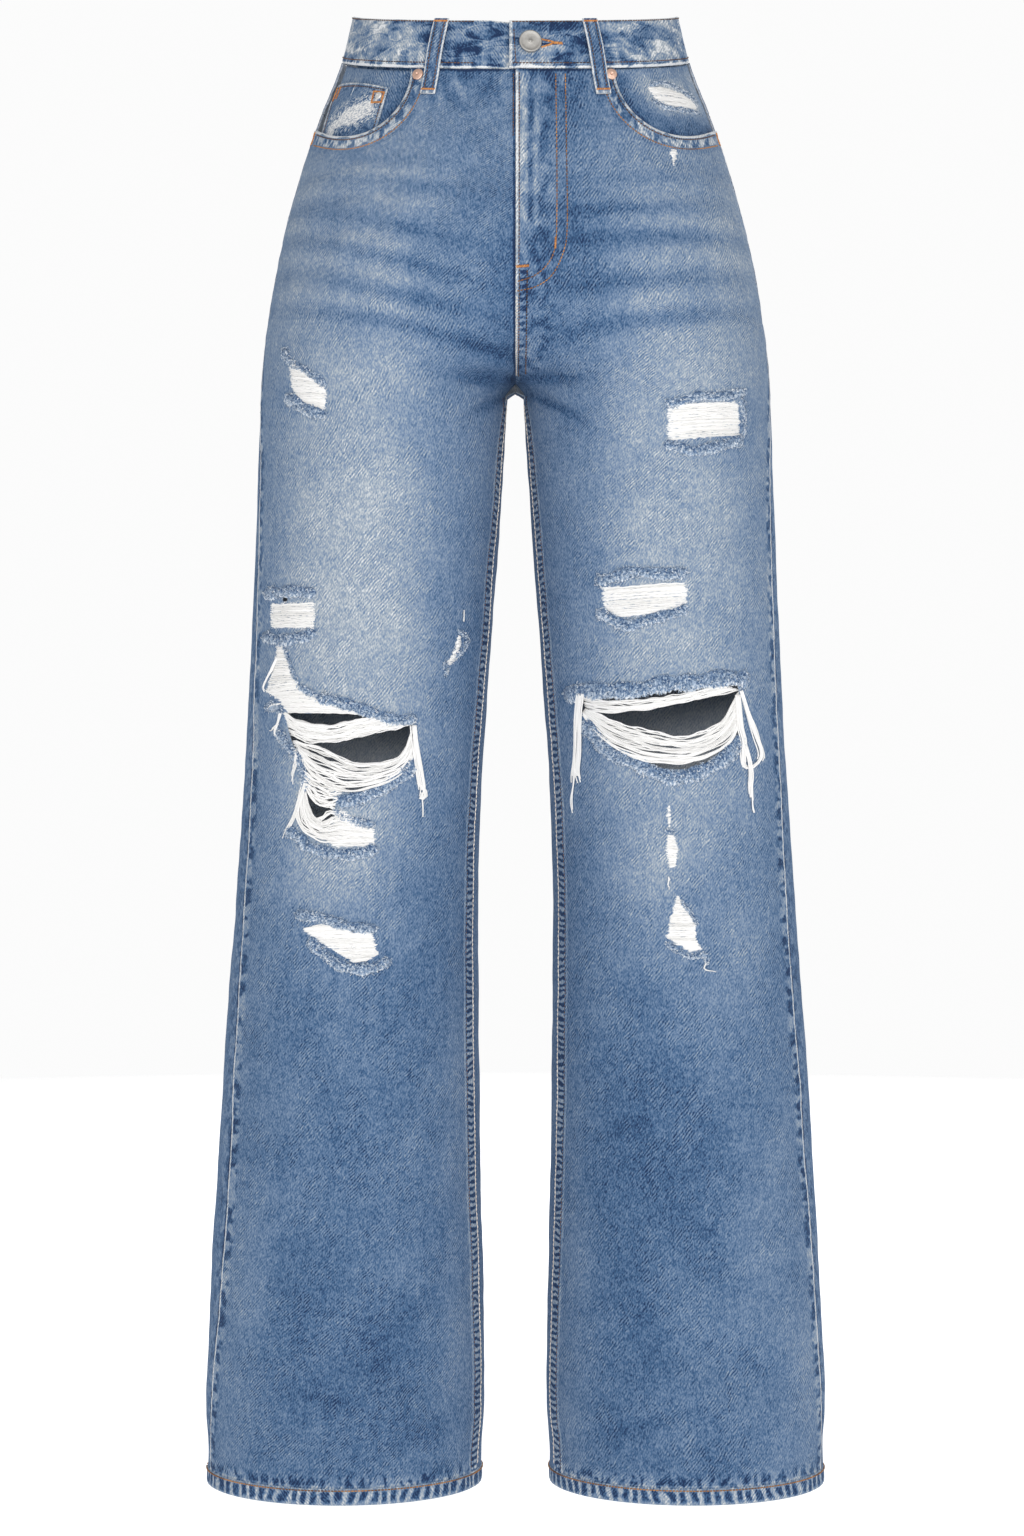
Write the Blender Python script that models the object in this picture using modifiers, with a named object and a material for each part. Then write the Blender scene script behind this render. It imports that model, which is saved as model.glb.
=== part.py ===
"""Ripped wide-leg jeans, as they hang when worn, hollow and open at the waist and hems.

Metres, +Z up. The front faces -Y and the wearer's right is at -X. The origin is the middle of
the waist, level with the waistband's top edge at the side seams, where the wearer holds the
garment up. The tables below are in millimetres, and a drop is measured down from the origin.
"""

import math
from collections import namedtuple

import bmesh
import bpy
from mathutils import Matrix, Vector

MM = 0.001

# ---------------------------------------------------------------- driving sizes, millimetres
CLOTH = 1.2  # wall of one layer of denim
SEAM_GAP = 0.3  # between two pieces that are sewn edge to edge
LAYER_GAP = 0.4  # between a piece and what lies on it
BAND_HEIGHT = 34.0
BAND_WALL = 2.4
BAND_PROUD = 0.6
FORK = 279.0  # drop of the crotch point
FORK_ROUND = 4.0  # height over which the gap between the legs opens
GAP_FADES = 50.0  # height above the crotch point over which the bridge's gap dies away
BRIDGE, BRIDGE_HEIGHT = 8, 8.0  # how close to the crotch the cloth bridges the legs
HEM_DROP = 1083.0
HEM_HEIGHT = 12.5
HEM_WALL = 2.6
HEM_PROUD = 0.5
LOOP_WIDTH = 10.5
LOOP_WALL = 2.0
LOOP_TAIL = 20.0  # how far a belt loop reaches below the waistband
BUTTON_RADIUS = 8.2
RIVET_RADIUS = 4.1
YOKE_SIDE, YOKE_CENTRE = 72.0, 104.0  # drop of the yoke's lower edge at each end
BACK_POCKET_LIFT = 2.2  # clears the facets of the panel below
COIN_OUT = -2.2  # outer faces of the layers in the pocket mouths, inwards of the front panel's
FACING_OUT = {"right": -4.2, "left": -1.8}
BAG_OUT = -7.4
ZIP_OUT = -3.6

# Half of the garment at each drop: the side seam's place, the place of the front crease, and
# how far the cloth stands forward and back of the side seams there.
Body = namedtuple("Body", "drop side crease front back")
BODY = (
    Body(0, 119.5, 20, 88, 90),
    Body(34, 128, 24, 95, 97),
    Body(78, 145, 34, 104, 110),
    Body(110, 156, 43, 108, 119),
    Body(150, 167.5, 56, 111, 128),
    Body(190, 176.5, 69, 112, 132),
    Body(230, 183, 83, 111, 130),
    Body(262, 186.5, 92, 108.5, 125),
    Body(279, 187.6, 95.3, 106.5, 120.5),
    Body(310, 189, 98.9, 103, 113.5),
    Body(350, 190.5, 101.2, 99, 106.5),
    Body(400, 192.3, 103.7, 95, 100),
    Body(450, 194.6, 106.2, 91.3, 95),
    Body(500, 197, 109, 88, 91),
    Body(550, 199.5, 112, 86.5, 88),
    Body(600, 203, 114.7, 85.5, 86),
    Body(660, 207, 117.4, 84.5, 84.5),
    Body(720, 211.5, 119.4, 84, 83.5),
    Body(780, 216, 121.4, 83.5, 83),
    Body(840, 219.5, 122.8, 83, 82.5),
    Body(900, 223.2, 124, 82.5, 82.5),
    Body(950, 225.8, 124.8, 82.5, 82.5),
    Body(1000, 228.2, 125.6, 82.5, 83),
    Body(1030, 228.5, 125.8, 83, 83),
    Body(1055, 227, 126, 83.5, 83.5),
    Body(1083, 227.6, 126.6, 84, 84),
)

# Half of the gap between the legs, from the crotch point down.
Gap = namedtuple("Gap", "drop inner")
GAP = (
    Gap(279, 5.8),
    Gap(310, 7.4),
    Gap(350, 9.8),
    Gap(400, 13.3),
    Gap(450, 17),
    Gap(500, 20.6),
    Gap(550, 24),
    Gap(600, 26.4),
    Gap(660, 27.7),
    Gap(720, 27.3),
    Gap(780, 26.7),
    Gap(840, 26),
    Gap(900, 24.7),
    Gap(950, 23.7),
    Gap(1000, 22.9),
    Gap(1030, 23),
    Gap(1055, 25),
    Gap(1083, 25.6),
)

# The centre seam runs straight down to `start` and then round to the crotch point.
CentreSeam = namedtuple("CentreSeam", "start bend")
CENTRE_SEAM = {"front": CentreSeam(168, 2.4), "back": CentreSeam(135, 2.3)}

# How far the waist dips at the centre front and rises at the centre back, for each millimetre
# of depth, and the drops between which that dies away.
WAIST_TILT = {"front": 0.272, "back": -0.09}
TILT_FULL, TILT_GONE = 40.0, 190.0

# The largest folds: soft troughs (a depth over 0) and ridges (under 0) in the legs' cloth.
Fold = namedtuple("Fold", "face x z reach width slope depth")
FOLDS = (
    Fold("front", -107, -978, 44, 17, -28, 3.5),
    Fold("front", -92, -1012, 40, 15, -22, -2.5),
    Fold("front", 126, -974, 56, 17, -22, 3.5),
    Fold("front", 140, -1008, 46, 15, -18, -2.5),
    Fold("front", -120, -560, 60, 22, 0, -2.0),
    Fold("front", 118, -548, 60, 22, 0, -2.0),
    Fold("back", -100, -300, 60, 18, 24, 4.0),
    Fold("back", 104, -304, 56, 18, -22, 4.0),
    Fold("back", -112, -500, 62, 18, 8, 4.0),
    Fold("back", 118, -506, 58, 18, -10, 3.5),
    Fold("back", -126, -548, 50, 16, -12, 3.0),
    Fold("back", 108, -556, 54, 16, 9, 3.0),
    Fold("back", -132, -985, 46, 17, -20, 3.5),
    Fold("back", 122, -978, 50, 17, 22, 3.5),
)

# Sections through the panels: evenly spaced down to the hips, and then at these drops.
HIP_DROP = 200.0
LEG_DROPS = (310, 350, 400, 455, 500, 545, 610, 700, 800, 890, 945, 980, 1015, 1045)

# Oval cuts through the front, seen from the front: middle, half sizes, and slope in degrees.
Cut = namedtuple("Cut", "name hand x z half_width half_height slope")
POCKET_CUTS = (
    Cut("cut_pocket_right", -1, -116, -56, 41.5, 47.4, 0),
    Cut("cut_pocket_left", 1, 114.5, -56, 44, 47.4, 0),
)
KNEE_CUTS = (
    Cut("cut_knee_left", 1, 108, -518, 49, 11, 6),
    Cut("cut_knee_right", -1, -104, -540, 30, 11, 6),
    Cut("cut_knee_right_upper", -1, -137, -520, 24, 4.5, -8),
)

# How deep those cuts reach, as distances in front of the side seams.
MOUTH_CUT, KNEE_CUT = (-20.0, 200.0), (50.0, 130.0)

# Threads and fringe that stand clear of the front at the knees, as strips down or along it.
Strip = namedtuple("Strip", "name x_top z_top x_low z_low width")
KNEE_STRIPS = (
    Strip("tassel_left_inner", 45, -503, 42.5, -586, 6.5),
    Strip("tassel_left_outer", 161, -504, 171, -586, 7.5),
    Strip("tassel_right_inner", -73, -529, -67, -574, 5.0),
    Strip("knee_fringe_left", 38, -495, 158, -495, 8.0),
    Strip("knee_fringe_right", -140, -507, -76, -521, 7.0),
)
STRIP_WALL = 2.0
STRIP_LIFT = 1.2

# The pocket bags hang from the waistband and round off at their feet.
BAG_INNER, BAG_OUTER = 50.0, 0.92  # a place from the middle, and a share of the way to the side
BAG_ROUND_FROM, BAG_LOW = 150.0, 222.0
BAG_ROUND_INNER, BAG_ROUND_OUTER = 28.0, 30.0
BAG_WALL = 1.0
FACING_LOW = 112.0

# The coin pocket's sides, each from its top corner to its foot behind the front panel.
COIN_OUTER = ((-131, -54), (-146, -118))
COIN_INNER = ((-91, -69.5), (-104, -122))
COIN_WALL = 1.0

# A back pocket: its middle line, its mouth, and how far its foot narrows and points down.
POCKET_MIDDLE, POCKET_TOP = 84.0, -128.0
POCKET_WIDTH, POCKET_HEIGHT, POCKET_POINT = 128.0, 118.0, 22.0
POCKET_NARROWS, POCKET_TILT, POCKET_WALL = 0.14, 5.0, 1.0

# Where each belt loop stands at its top and its foot.
Loop = namedtuple("Loop", "name face x_top x_low")
LOOPS = (
    Loop("belt_loop_front_right", "front", -52, -62),
    Loop("belt_loop_front_left", "front", 52, 62),
    Loop("belt_loop_back_right", "back", -84, -91),
    Loop("belt_loop_back_left", "back", 84, 91),
    Loop("belt_loop_back_centre", "back", 0, 0),
)
LOOP_ABOVE = 0.6  # how far a loop starts above the waistband's top edge
LOOP_ARCH = 1.8  # how far it stands off the band at most

# The waistband's ends: the right one is tucked under, past a ramp, and the left one laps over it.
LAP_END, TUCK_END, LAP_RAMP = -4.5, 27.0, 16.0
UNDERLAP, OVERLAP = (17, 8, 0), (32, 22, 10, 0)  # columns between the ends, across the middle
BAND_SHARES = (0.36, 0.56, 0.74, 0.88, 0.97)  # columns round a side, as shares of its distance
BAND_BACK = 0.17  # the column beside the centre back
BUTTONHOLE_WIDTH, BUTTONHOLE_DEPTH, BUTTONHOLE_LIFT = 2.2, 6.4, 0.8
TACK_HOLE_RADIUS, TACK_HOLE_DEPTH = 2.7, 16.0

# The zip behind the fly.
TAPE_COLUMNS = (-5, 2, 9, 16, 23)
TAPE_LOW = 190.0
TAPE_WALL = 1.0
SLIDER_X, SLIDER_BELOW_BAND = 9.0, 12.0
SLIDER_SIZE = (9.0, 13.0, 2.6)
SLIDER_BEHIND = 2.2  # its middle, behind the tape
SLIDER_EDGE = 0.8

# Hard pieces on the front: middle and radius.
BUTTON_X, BUTTON_DROP = 10.2, 17.0
BUTTONHOLE_END = 31.0
Rivet = namedtuple("Rivet", "name x z out radius")
RIVETS = (
    Rivet("rivet_pocket_right", -69.5, -62.5, 0.0, RIVET_RADIUS),
    Rivet("rivet_pocket_left", 68.0, -62.5, 0.0, RIVET_RADIUS),
    Rivet("rivet_coin", -98.0, -74.0, COIN_OUT, 2.7),
)


# ---------------------------------------------------------------- the worn form
def along(table, name, drop):
    """A column of a table at any drop, on a smooth curve through its rows."""
    drop = min(max(drop, table[0].drop), table[-1].drop)
    last = len(table) - 1
    i = max(k for k in range(last) if table[k].drop <= drop)

    def value(k):
        return getattr(table[k], name)

    def slope(k):
        low, high = max(k - 1, 0), min(k + 1, last)
        return (value(high) - value(low)) / (table[high].drop - table[low].drop)

    span = table[i + 1].drop - table[i].drop
    t = (drop - table[i].drop) / span
    return (
        (2 * t**3 - 3 * t**2 + 1) * value(i)
        + (t**3 - 2 * t**2 + t) * span * slope(i)
        + (3 * t**2 - 2 * t**3) * value(i + 1)
        + (t**3 - t**2) * span * slope(i + 1)
    )


def leg_gap(drop):
    """Half of the gap between the legs, dying away above the crotch point."""
    return along(GAP, "inner", drop) * min(max(1 - (FORK - drop) / GAP_FADES, 0), 1)


def inner_place(drop):
    """Distance of the centre seam or inseam from the middle of the garment."""
    if drop <= FORK:
        return SEAM_GAP / 2
    opened = min((drop - FORK) / FORK_ROUND, 1)
    return max(leg_gap(drop) * math.sqrt(1 - (1 - opened) ** 2), SEAM_GAP / 2)


def centre_depth(face, drop):
    """How far the centre seam stands forward or back, and 0 below the crotch point."""
    seam = CENTRE_SEAM[face]
    gone = min(max((drop - seam.start) / (FORK - seam.start), 0), 1)
    return along(BODY, face, drop) * (1 - gone**seam.bend) ** (1 / seam.bend)


def section(face, drop, turn):
    """(x, depth) on one half. turn is 0 at the centre seam or inseam, 1 at the crease, 2 at the side seam.

    From the crease inwards, an oval is cut short at the centre line. Close to the crotch point
    the cloth leaves that oval to bridge the legs.
    """
    side, crease = along(BODY, "side", drop), along(BODY, "crease", drop)
    depth = along(BODY, face, drop)
    if turn > 1:
        angle = (turn - 1) * math.pi / 2
        return crease + (side - crease) * math.sin(angle), depth * math.cos(angle)
    centre, gap = centre_depth(face, drop), leg_gap(drop)
    oval_centre = centre * (1 - math.exp(-max(FORK - drop, 0) / BRIDGE_HEIGHT))
    start = math.asin(min(oval_centre / depth, 0.9985))
    angle = start + turn * (math.pi / 2 - start)
    bridge = math.cos(turn * math.pi / 2) ** BRIDGE
    x = crease - (crease - gap) * math.cos(angle) / math.cos(start)
    return (
        x - (gap - inner_place(drop)) * bridge,
        depth * math.sin(angle) + (centre - depth * math.sin(start)) * bridge,
    )


def turn_at(drop, x):
    """The turn at which a section reaches a distance x from the middle."""
    low, high = 0.0, 2.0
    for _ in range(24):
        middle = (low + high) / 2
        if section("front", drop, middle)[0] < x:
            low = middle
        else:
            high = middle
    return (low + high) / 2


def fold_depth(face, x, z):
    """How far the folds push the cloth inwards here."""
    pushed = 0.0
    for fold in FOLDS:
        if fold.face != face:
            continue
        slope = math.radians(fold.slope)
        run = (x - fold.x) * math.cos(slope) + (z - fold.z) * math.sin(slope)
        rise = (z - fold.z) * math.cos(slope) - (x - fold.x) * math.sin(slope)
        pushed += fold.depth * math.exp(-((run / fold.reach) ** 2) - (rise / fold.width) ** 2)
    return pushed


def bare_skin(face, hand, drop, turn):
    x, depth = section(face, drop, turn)
    fade = min(max((TILT_GONE - drop) / (TILT_GONE - TILT_FULL), 0), 1)
    z = -drop - WAIST_TILT[face] * depth * fade * fade * (3 - 2 * fade)
    depth += SEAM_GAP / 2 - fold_depth(face, hand * x, z) * min(depth / 40, 1)
    return Vector((hand * x, -depth if face == "front" else depth, z)) * MM


def normal_at(face, hand, drop, turn):
    """Outward direction of the cloth."""
    step_turn, step_drop = 0.01, 0.5
    low, high = max(turn - step_turn, 0), min(turn + step_turn, 2)
    across = bare_skin(face, hand, drop, high) - bare_skin(face, hand, drop, low)
    down = bare_skin(face, hand, drop + step_drop, turn) - bare_skin(face, hand, drop - step_drop, turn)
    out = down.cross(across) * hand * (1 if face == "front" else -1)
    return out.normalized()


def skin(face, hand, drop, turn, out=0.0):
    """A point of the garment's outer surface, moved out by a distance."""
    return bare_skin(face, hand, drop, turn) + normal_at(face, hand, drop, turn) * out * MM


def skin_x(face, x, drop, out=0.0):
    """The same, given the distance x from the middle: under 0 on the wearer's right."""
    hand = -1 if x < 0 else 1
    return skin(face, hand, drop, turn_at(drop, abs(x)), out)


def drop_at(face, x, z):
    """The drop whose cloth is seen at the place (x, z)."""
    low, high = -20.0, HEM_DROP
    for _ in range(30):
        middle = (low + high) / 2
        if skin_x(face, x, middle).z / MM > z:
            low = middle
        else:
            high = middle
    return (low + high) / 2


def seen(face, x, z, out=0.0):
    return skin_x(face, x, drop_at(face, x, z), out)


# ---------------------------------------------------------------- making walls
def spread(start, end, steps):
    return [start + (end - start) * k / steps for k in range(steps + 1)]


def finish(name, colour, roughness, metallic=0.0):
    material = bpy.data.materials.new(name)
    material.use_nodes = True
    shader = material.node_tree.nodes["Principled BSDF"]
    shader.inputs["Base Color"].default_value = (*colour, 1)
    shader.inputs["Roughness"].default_value = roughness
    shader.inputs["Metallic"].default_value = metallic
    return material


def into_scene(name, mesh, material, collection):
    piece = bpy.data.objects.new(name, mesh)
    mesh.materials.append(material)
    collection.objects.link(piece)
    return piece


def wall(name, rows, thickness, material, turned=False, ring=False):
    """A sheet through rows of points, thickened inwards into a closed wall."""
    mesh = bpy.data.meshes.new(name)
    shape = bmesh.new()
    grid = [[shape.verts.new(point) for point in row] for row in rows]
    count = len(grid[0])
    for upper, lower in zip(grid, grid[1:]):
        for k in range(count if ring else count - 1):
            after = (k + 1) % count
            corners = (upper[k], lower[k], lower[after], upper[after])
            shape.faces.new(corners[::-1] if turned else corners)
    shape.to_mesh(mesh)
    shape.free()
    mesh.shade_smooth()
    piece = into_scene(name, mesh, material, JEANS)
    thicken = piece.modifiers.new("cloth", "SOLIDIFY")
    thicken.thickness = thickness * MM
    thicken.offset = -1
    return piece


def patch(name, face, hand, drops, turns, out, thickness, material):
    """A wall over part of the garment: drops and turns give its rows and columns."""
    rows = [[skin(face, hand, drop, turn, out) for turn in turns] for drop in drops]
    turned = hand * (1 if face == "front" else -1) < 0
    return wall(name, rows, thickness, material, turned)


def cut_away(piece, cutter):
    cut = piece.modifiers.new(cutter.name, "BOOLEAN")
    cut.operation = "DIFFERENCE"
    cut.solver = "EXACT"
    cut.object = cutter


def cutter_from(name, shape):
    mesh = bpy.data.meshes.new(name)
    shape.to_mesh(mesh)
    shape.free()
    cutter = bpy.data.objects.new(name, mesh)
    CUTTERS.objects.link(cutter)
    cutter.hide_render = True
    cutter.display_type = "WIRE"
    return cutter


def oval_cutter(cut, near, far, sides=28):
    """An oval bar along Y between two depths in front of the side seams."""
    shape = bmesh.new()
    place = (
        Matrix.Translation(Vector((cut.x, -(near + far) / 2, cut.z)) * MM)
        @ Matrix.Rotation(math.radians(-cut.slope), 4, "Y")
        @ Matrix.Diagonal((cut.half_width * MM, 1, cut.half_height * MM, 1))
        @ Matrix.Rotation(math.pi / 2, 4, "X")
    )
    bmesh.ops.create_cone(
        shape,
        cap_ends=True,
        segments=sides,
        radius1=1,
        radius2=1,
        depth=(far - near) * MM,
        matrix=place,
    )
    return cutter_from(cut.name, shape)


def stand_on(face, x, drop, out):
    """A frame on the cloth: its X runs level along the cloth and its Z points out."""
    hand = -1 if x < 0 else 1
    turn = turn_at(drop, abs(x))
    up = normal_at(face, hand, drop, turn)
    level = Vector((0, 0, 1)).cross(up).normalized() * (1 if face == "front" else -1)
    axes = Matrix((level, up.cross(level), up)).transposed().to_4x4()
    return Matrix.Translation(skin(face, hand, drop, turn, out)) @ axes


def turned_piece(name, profile, place, material, steps=20):
    """A round piece: the profile's (radius, height) pairs run from its top down its outer side."""
    mesh = bpy.data.meshes.new(name)
    points = [(radius * MM, 0, height * MM) for radius, height in profile]
    edges = [(k, k + 1) for k in range(len(points) - 1)]
    mesh.from_pydata(points, edges, [])
    piece = into_scene(name, mesh, material, JEANS)
    piece.matrix_world = place
    spin = piece.modifiers.new("turned", "SCREW")
    spin.axis = "Z"
    spin.steps = steps
    spin.render_steps = steps
    spin.use_merge_vertices = True
    spin.merge_threshold = 0.00001
    return piece


# ---------------------------------------------------------------- the pieces
def fork_rows():
    """Drops of the sections round the crotch point, closer together towards it."""
    above = [FORK - 48 * (1 - math.sin(math.pi / 2 * k / 4)) for k in range(5)]
    below = [FORK + FORK_ROUND * (1 - math.cos(math.pi / 2 * k / 2)) for k in (1, 2)]
    return above + below


def leg_rows():
    return fork_rows() + list(LEG_DROPS) + [HEM_DROP - HEM_HEIGHT - SEAM_GAP]


def panel_turns():
    """Columns of a panel: a narrow one at each seam lets its edge face the next piece squarely."""
    narrow = 0.03
    return [0, narrow] + spread(0, 1, 4)[1:] + spread(1, 2, 6)[1:-1] + [2 - narrow, 2]


def front_panel(hand, side_name, cutters):
    drops = spread(BAND_HEIGHT + LAYER_GAP, HIP_DROP, 5) + leg_rows()
    name = "front_panel_" + side_name
    panel = patch(name, "front", hand, drops, panel_turns(), 0, CLOTH, DENIM)
    for cutter in cutters:
        cut_away(panel, cutter)


def yoke_edge(turn):
    return YOKE_CENTRE + (YOKE_SIDE - YOKE_CENTRE) * turn / 2


def back_pieces(hand, side_name):
    """The yoke, and the panel below its slanting edge."""
    turned = hand > 0
    turns = panel_turns()

    def row(share, below):
        top = BAND_HEIGHT + LAYER_GAP
        return [top + (yoke_edge(turn) + below - top) * share for turn in turns]

    def points(drops):
        return [skin("back", hand, drop, turn) for drop, turn in zip(drops, turns)]

    yoke = [points(row(share, 0)) for share in (0, 0.5, 1)]
    wall("back_yoke_" + side_name, yoke, CLOTH, DENIM, turned)
    blends = [
        [yoke_edge(turn) + SEAM_GAP + (HIP_DROP - yoke_edge(turn)) * k / 4 for turn in turns]
        for k in range(5)
    ]
    level = [[drop] * len(turns) for drop in leg_rows()]
    panel = [points(drops) for drops in blends + level]
    wall("back_panel_" + side_name, panel, CLOTH, DENIM, turned)


def waistband():
    """One strip: its right end lies under its left end at the centre front."""
    under = -(BAND_WALL + 1.0 - BAND_PROUD)
    columns = []
    for x in (TUCK_END, *UNDERLAP, LAP_END):
        columns.append(("front", x, under))
    columns.append(("front", LAP_END - LAP_RAMP / 2, (under + BAND_PROUD) / 2))
    columns.append(("front", LAP_END - LAP_RAMP, BAND_PROUD))
    for share in (*BAND_SHARES, 0.9999):
        columns.append(("front", -share, BAND_PROUD))
    for share in (*BAND_SHARES[::-1], BAND_BACK):
        columns.append(("back", -share, BAND_PROUD))
    columns.append(("back", 0.0, BAND_PROUD))
    for share in (BAND_BACK, *BAND_SHARES):
        columns.append(("back", share, BAND_PROUD))
    for share in (0.9999, *BAND_SHARES[::-1]):
        columns.append(("front", share, BAND_PROUD))
    for x in (*OVERLAP, LAP_END):
        columns.append(("front", x, BAND_PROUD))
    rows = []
    for drop in spread(0, BAND_HEIGHT, 3):
        side = along(BODY, "side", drop)
        row = []
        for face, x, out in columns:
            reach = x * side if 0 < abs(x) < 1 else x
            row.append(skin_x(face, reach, drop, out))
        rows.append(row)
    band = wall("waistband", rows, BAND_WALL, DENIM, turned=True)

    # The buttonhole is cut through the upper layer alone, and the tack's hole through both.
    slot_middle = (BUTTON_X + BUTTONHOLE_END) / 2
    slot = bmesh.new()
    size = Vector((BUTTONHOLE_END - BUTTON_X, BUTTONHOLE_WIDTH, BUTTONHOLE_DEPTH)) * MM
    lift = Matrix.Translation(Vector((0, 0, BUTTONHOLE_LIFT)) * MM)
    place = stand_on("front", slot_middle, BUTTON_DROP, 0) @ lift
    bmesh.ops.create_cube(slot, size=1, matrix=place @ Matrix.Diagonal((*size, 1)))
    cut_away(band, cutter_from("cut_buttonhole", slot))
    hole = bmesh.new()
    bmesh.ops.create_cone(
        hole,
        cap_ends=True,
        segments=16,
        radius1=TACK_HOLE_RADIUS * MM,
        radius2=TACK_HOLE_RADIUS * MM,
        depth=TACK_HOLE_DEPTH * MM,
        matrix=stand_on("front", BUTTON_X, BUTTON_DROP, 0),
    )
    cut_away(band, cutter_from("cut_tack", hole))


def waist_button():
    """A tack button: domed head with a rim, a post through both layers, and a flat back cap."""
    radius = BUTTON_RADIUS
    profile = (
        (0, 4.6),
        (1.5, 4.5),
        (1.9, 4.1),
        (radius - 2.2, 3.9),
        (radius - 1.0, 4.3),
        (radius, 3.6),
        (radius, 2.6),
        (radius - 0.8, 1.6),
        (2.2, 1.4),
        (2.2, -6.3),
        (4.6, -6.3),
        (4.6, -7.2),
        (0, -7.4),
    )
    place = stand_on("front", BUTTON_X, BUTTON_DROP, 0)
    turned_piece("waist_button", profile, place, NICKEL, steps=18)


def rivets():
    for rivet in RIVETS:
        r = rivet.radius
        profile = ((0, 1.9), (r * 0.35, 1.8), (r * 0.55, 1.35), (r * 0.8, 1.4), (r, 0.9), (r, 0.45), (0, 0.45))
        place = stand_on("front", rivet.x, drop_at("front", rivet.x, rivet.z), rivet.out)
        turned_piece(rivet.name, profile, place, COPPER, steps=12)


def pocket_pieces(hand, side_name):
    """The facing that shows in the pocket mouth, and the plain bag behind it."""
    top = BAND_HEIGHT + LAYER_GAP
    turns = [turn for turn in panel_turns() if turn > 0.99]
    drops = spread(top, FACING_LOW, 3)
    patch("pocket_facing_" + side_name, "front", hand, drops, turns, FACING_OUT[side_name], CLOTH, DENIM)
    rows = []
    for drop in spread(top + 1, BAG_LOW, 6):
        rounding = (max(drop - BAG_ROUND_FROM, 0) / (BAG_LOW - BAG_ROUND_FROM)) ** 3
        inner = BAG_INNER + BAG_ROUND_INNER * rounding
        outer = BAG_OUTER * along(BODY, "side", drop) - BAG_ROUND_OUTER * rounding
        rows.append([skin_x("front", hand * x, drop, BAG_OUT) for x in spread(inner, outer, 7)])
    wall("pocket_bag_" + side_name, rows, BAG_WALL, COTTON, turned=hand < 0)


def coin_pocket():
    """A small patch on the right facing, which runs down behind the front panel."""
    rows = []
    for share in spread(0, 1, 4):
        outer = Vector(COIN_OUTER[0]).lerp(Vector(COIN_OUTER[1]), share)
        inner = Vector(COIN_INNER[0]).lerp(Vector(COIN_INNER[1]), share)
        row = [outer.lerp(inner, across) for across in spread(0, 1, 4)]
        rows.append([seen("front", x, z, COIN_OUT) for x, z in row])
    wall("coin_pocket", rows, COIN_WALL, DENIM)


def back_pocket(hand, side_name):
    """A patch with a pointed foot on the back panel."""
    rows = []
    for share in spread(0, 1, 4):
        row = []
        for across in spread(-1, 1, 6):
            x = POCKET_MIDDLE + across * POCKET_WIDTH / 2 * (1 - POCKET_NARROWS * share)
            z = POCKET_TOP - share * (POCKET_HEIGHT + POCKET_POINT * (1 - abs(across)))
            z -= POCKET_TILT * across
            row.append(seen("back", hand * x, z, BACK_POCKET_LIFT + POCKET_WALL))
        rows.append(row)
    wall("back_pocket_" + side_name, rows, POCKET_WALL, DENIM, turned=hand > 0)


def belt_loops():
    """Folded strips, sewn down above and below the waistband and standing a little off it."""
    base = BAND_PROUD + LAYER_GAP + LOOP_WALL
    half = LOOP_WIDTH / 2
    for loop in LOOPS:
        rows = []
        for share in spread(0, 1, 7):
            drop = (BAND_HEIGHT + LOOP_TAIL) * share - LOOP_ABOVE
            x = loop.x_top + (loop.x_low - loop.x_top) * share
            out = base + LOOP_ARCH * math.sin(math.pi * min(share * 1.35, 1))
            rows.append([skin_x(loop.face, x + half * side, drop, out) for side in (-1, 0, 1)])
        wall(loop.name, rows, LOOP_WALL, DENIM, turned=loop.face == "back")


def hem(hand, side_name):
    """The leg's end, turned up twice: a thick ring."""
    turns = panel_turns()
    rows = []
    for drop in spread(HEM_DROP - HEM_HEIGHT, HEM_DROP, 2):
        front = [skin("front", hand, drop, turn, HEM_PROUD) for turn in turns]
        back = [skin("back", hand, drop, turn, HEM_PROUD) for turn in reversed(turns)]
        rows.append(front + back)
    wall("hem_" + side_name, rows, HEM_WALL, DENIM, turned=hand < 0, ring=True)


def zip_pieces():
    """The closed zip behind the fly: one plain tape, and the slider at its top."""
    rows = []
    for drop in spread(BAND_HEIGHT + 4, TAPE_LOW, 5):
        rows.append([skin_x("front", x, drop, ZIP_OUT) for x in TAPE_COLUMNS])
    wall("zip_tape", rows, TAPE_WALL, COTTON)
    slider = bmesh.new()
    place = stand_on("front", SLIDER_X, BAND_HEIGHT + SLIDER_BELOW_BAND, ZIP_OUT - TAPE_WALL - SLIDER_BEHIND)
    bmesh.ops.create_cube(slider, size=1, matrix=Matrix.Diagonal((*(Vector(SLIDER_SIZE) * MM), 1)))
    mesh = bpy.data.meshes.new("zip_slider")
    slider.to_mesh(mesh)
    slider.free()
    piece = into_scene("zip_slider", mesh, BRASS, JEANS)
    piece.matrix_world = place
    bevel = piece.modifiers.new("edges", "BEVEL")
    bevel.width = SLIDER_EDGE * MM
    bevel.segments = 2


def knee_strips():
    """Loose threads and rolled fringe, each as a plain strip of its reach, clear of the cloth."""
    for strip in KNEE_STRIPS:
        top, low = Vector((strip.x_top, strip.z_top)), Vector((strip.x_low, strip.z_low))
        run = (low - top).normalized()
        across = Vector((-run.y, run.x)) * strip.width / 2
        rows = []
        for share in spread(0, 1, 8):
            middle = top.lerp(low, share)
            ends = [middle - across, middle, middle + across]
            rows.append([seen("front", x, z, STRIP_LIFT + STRIP_WALL) for x, z in ends])
        wall(strip.name, rows, STRIP_WALL, COTTON)


# ---------------------------------------------------------------- the garment
for old in list(bpy.data.objects):
    bpy.data.objects.remove(old, do_unlink=True)

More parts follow.
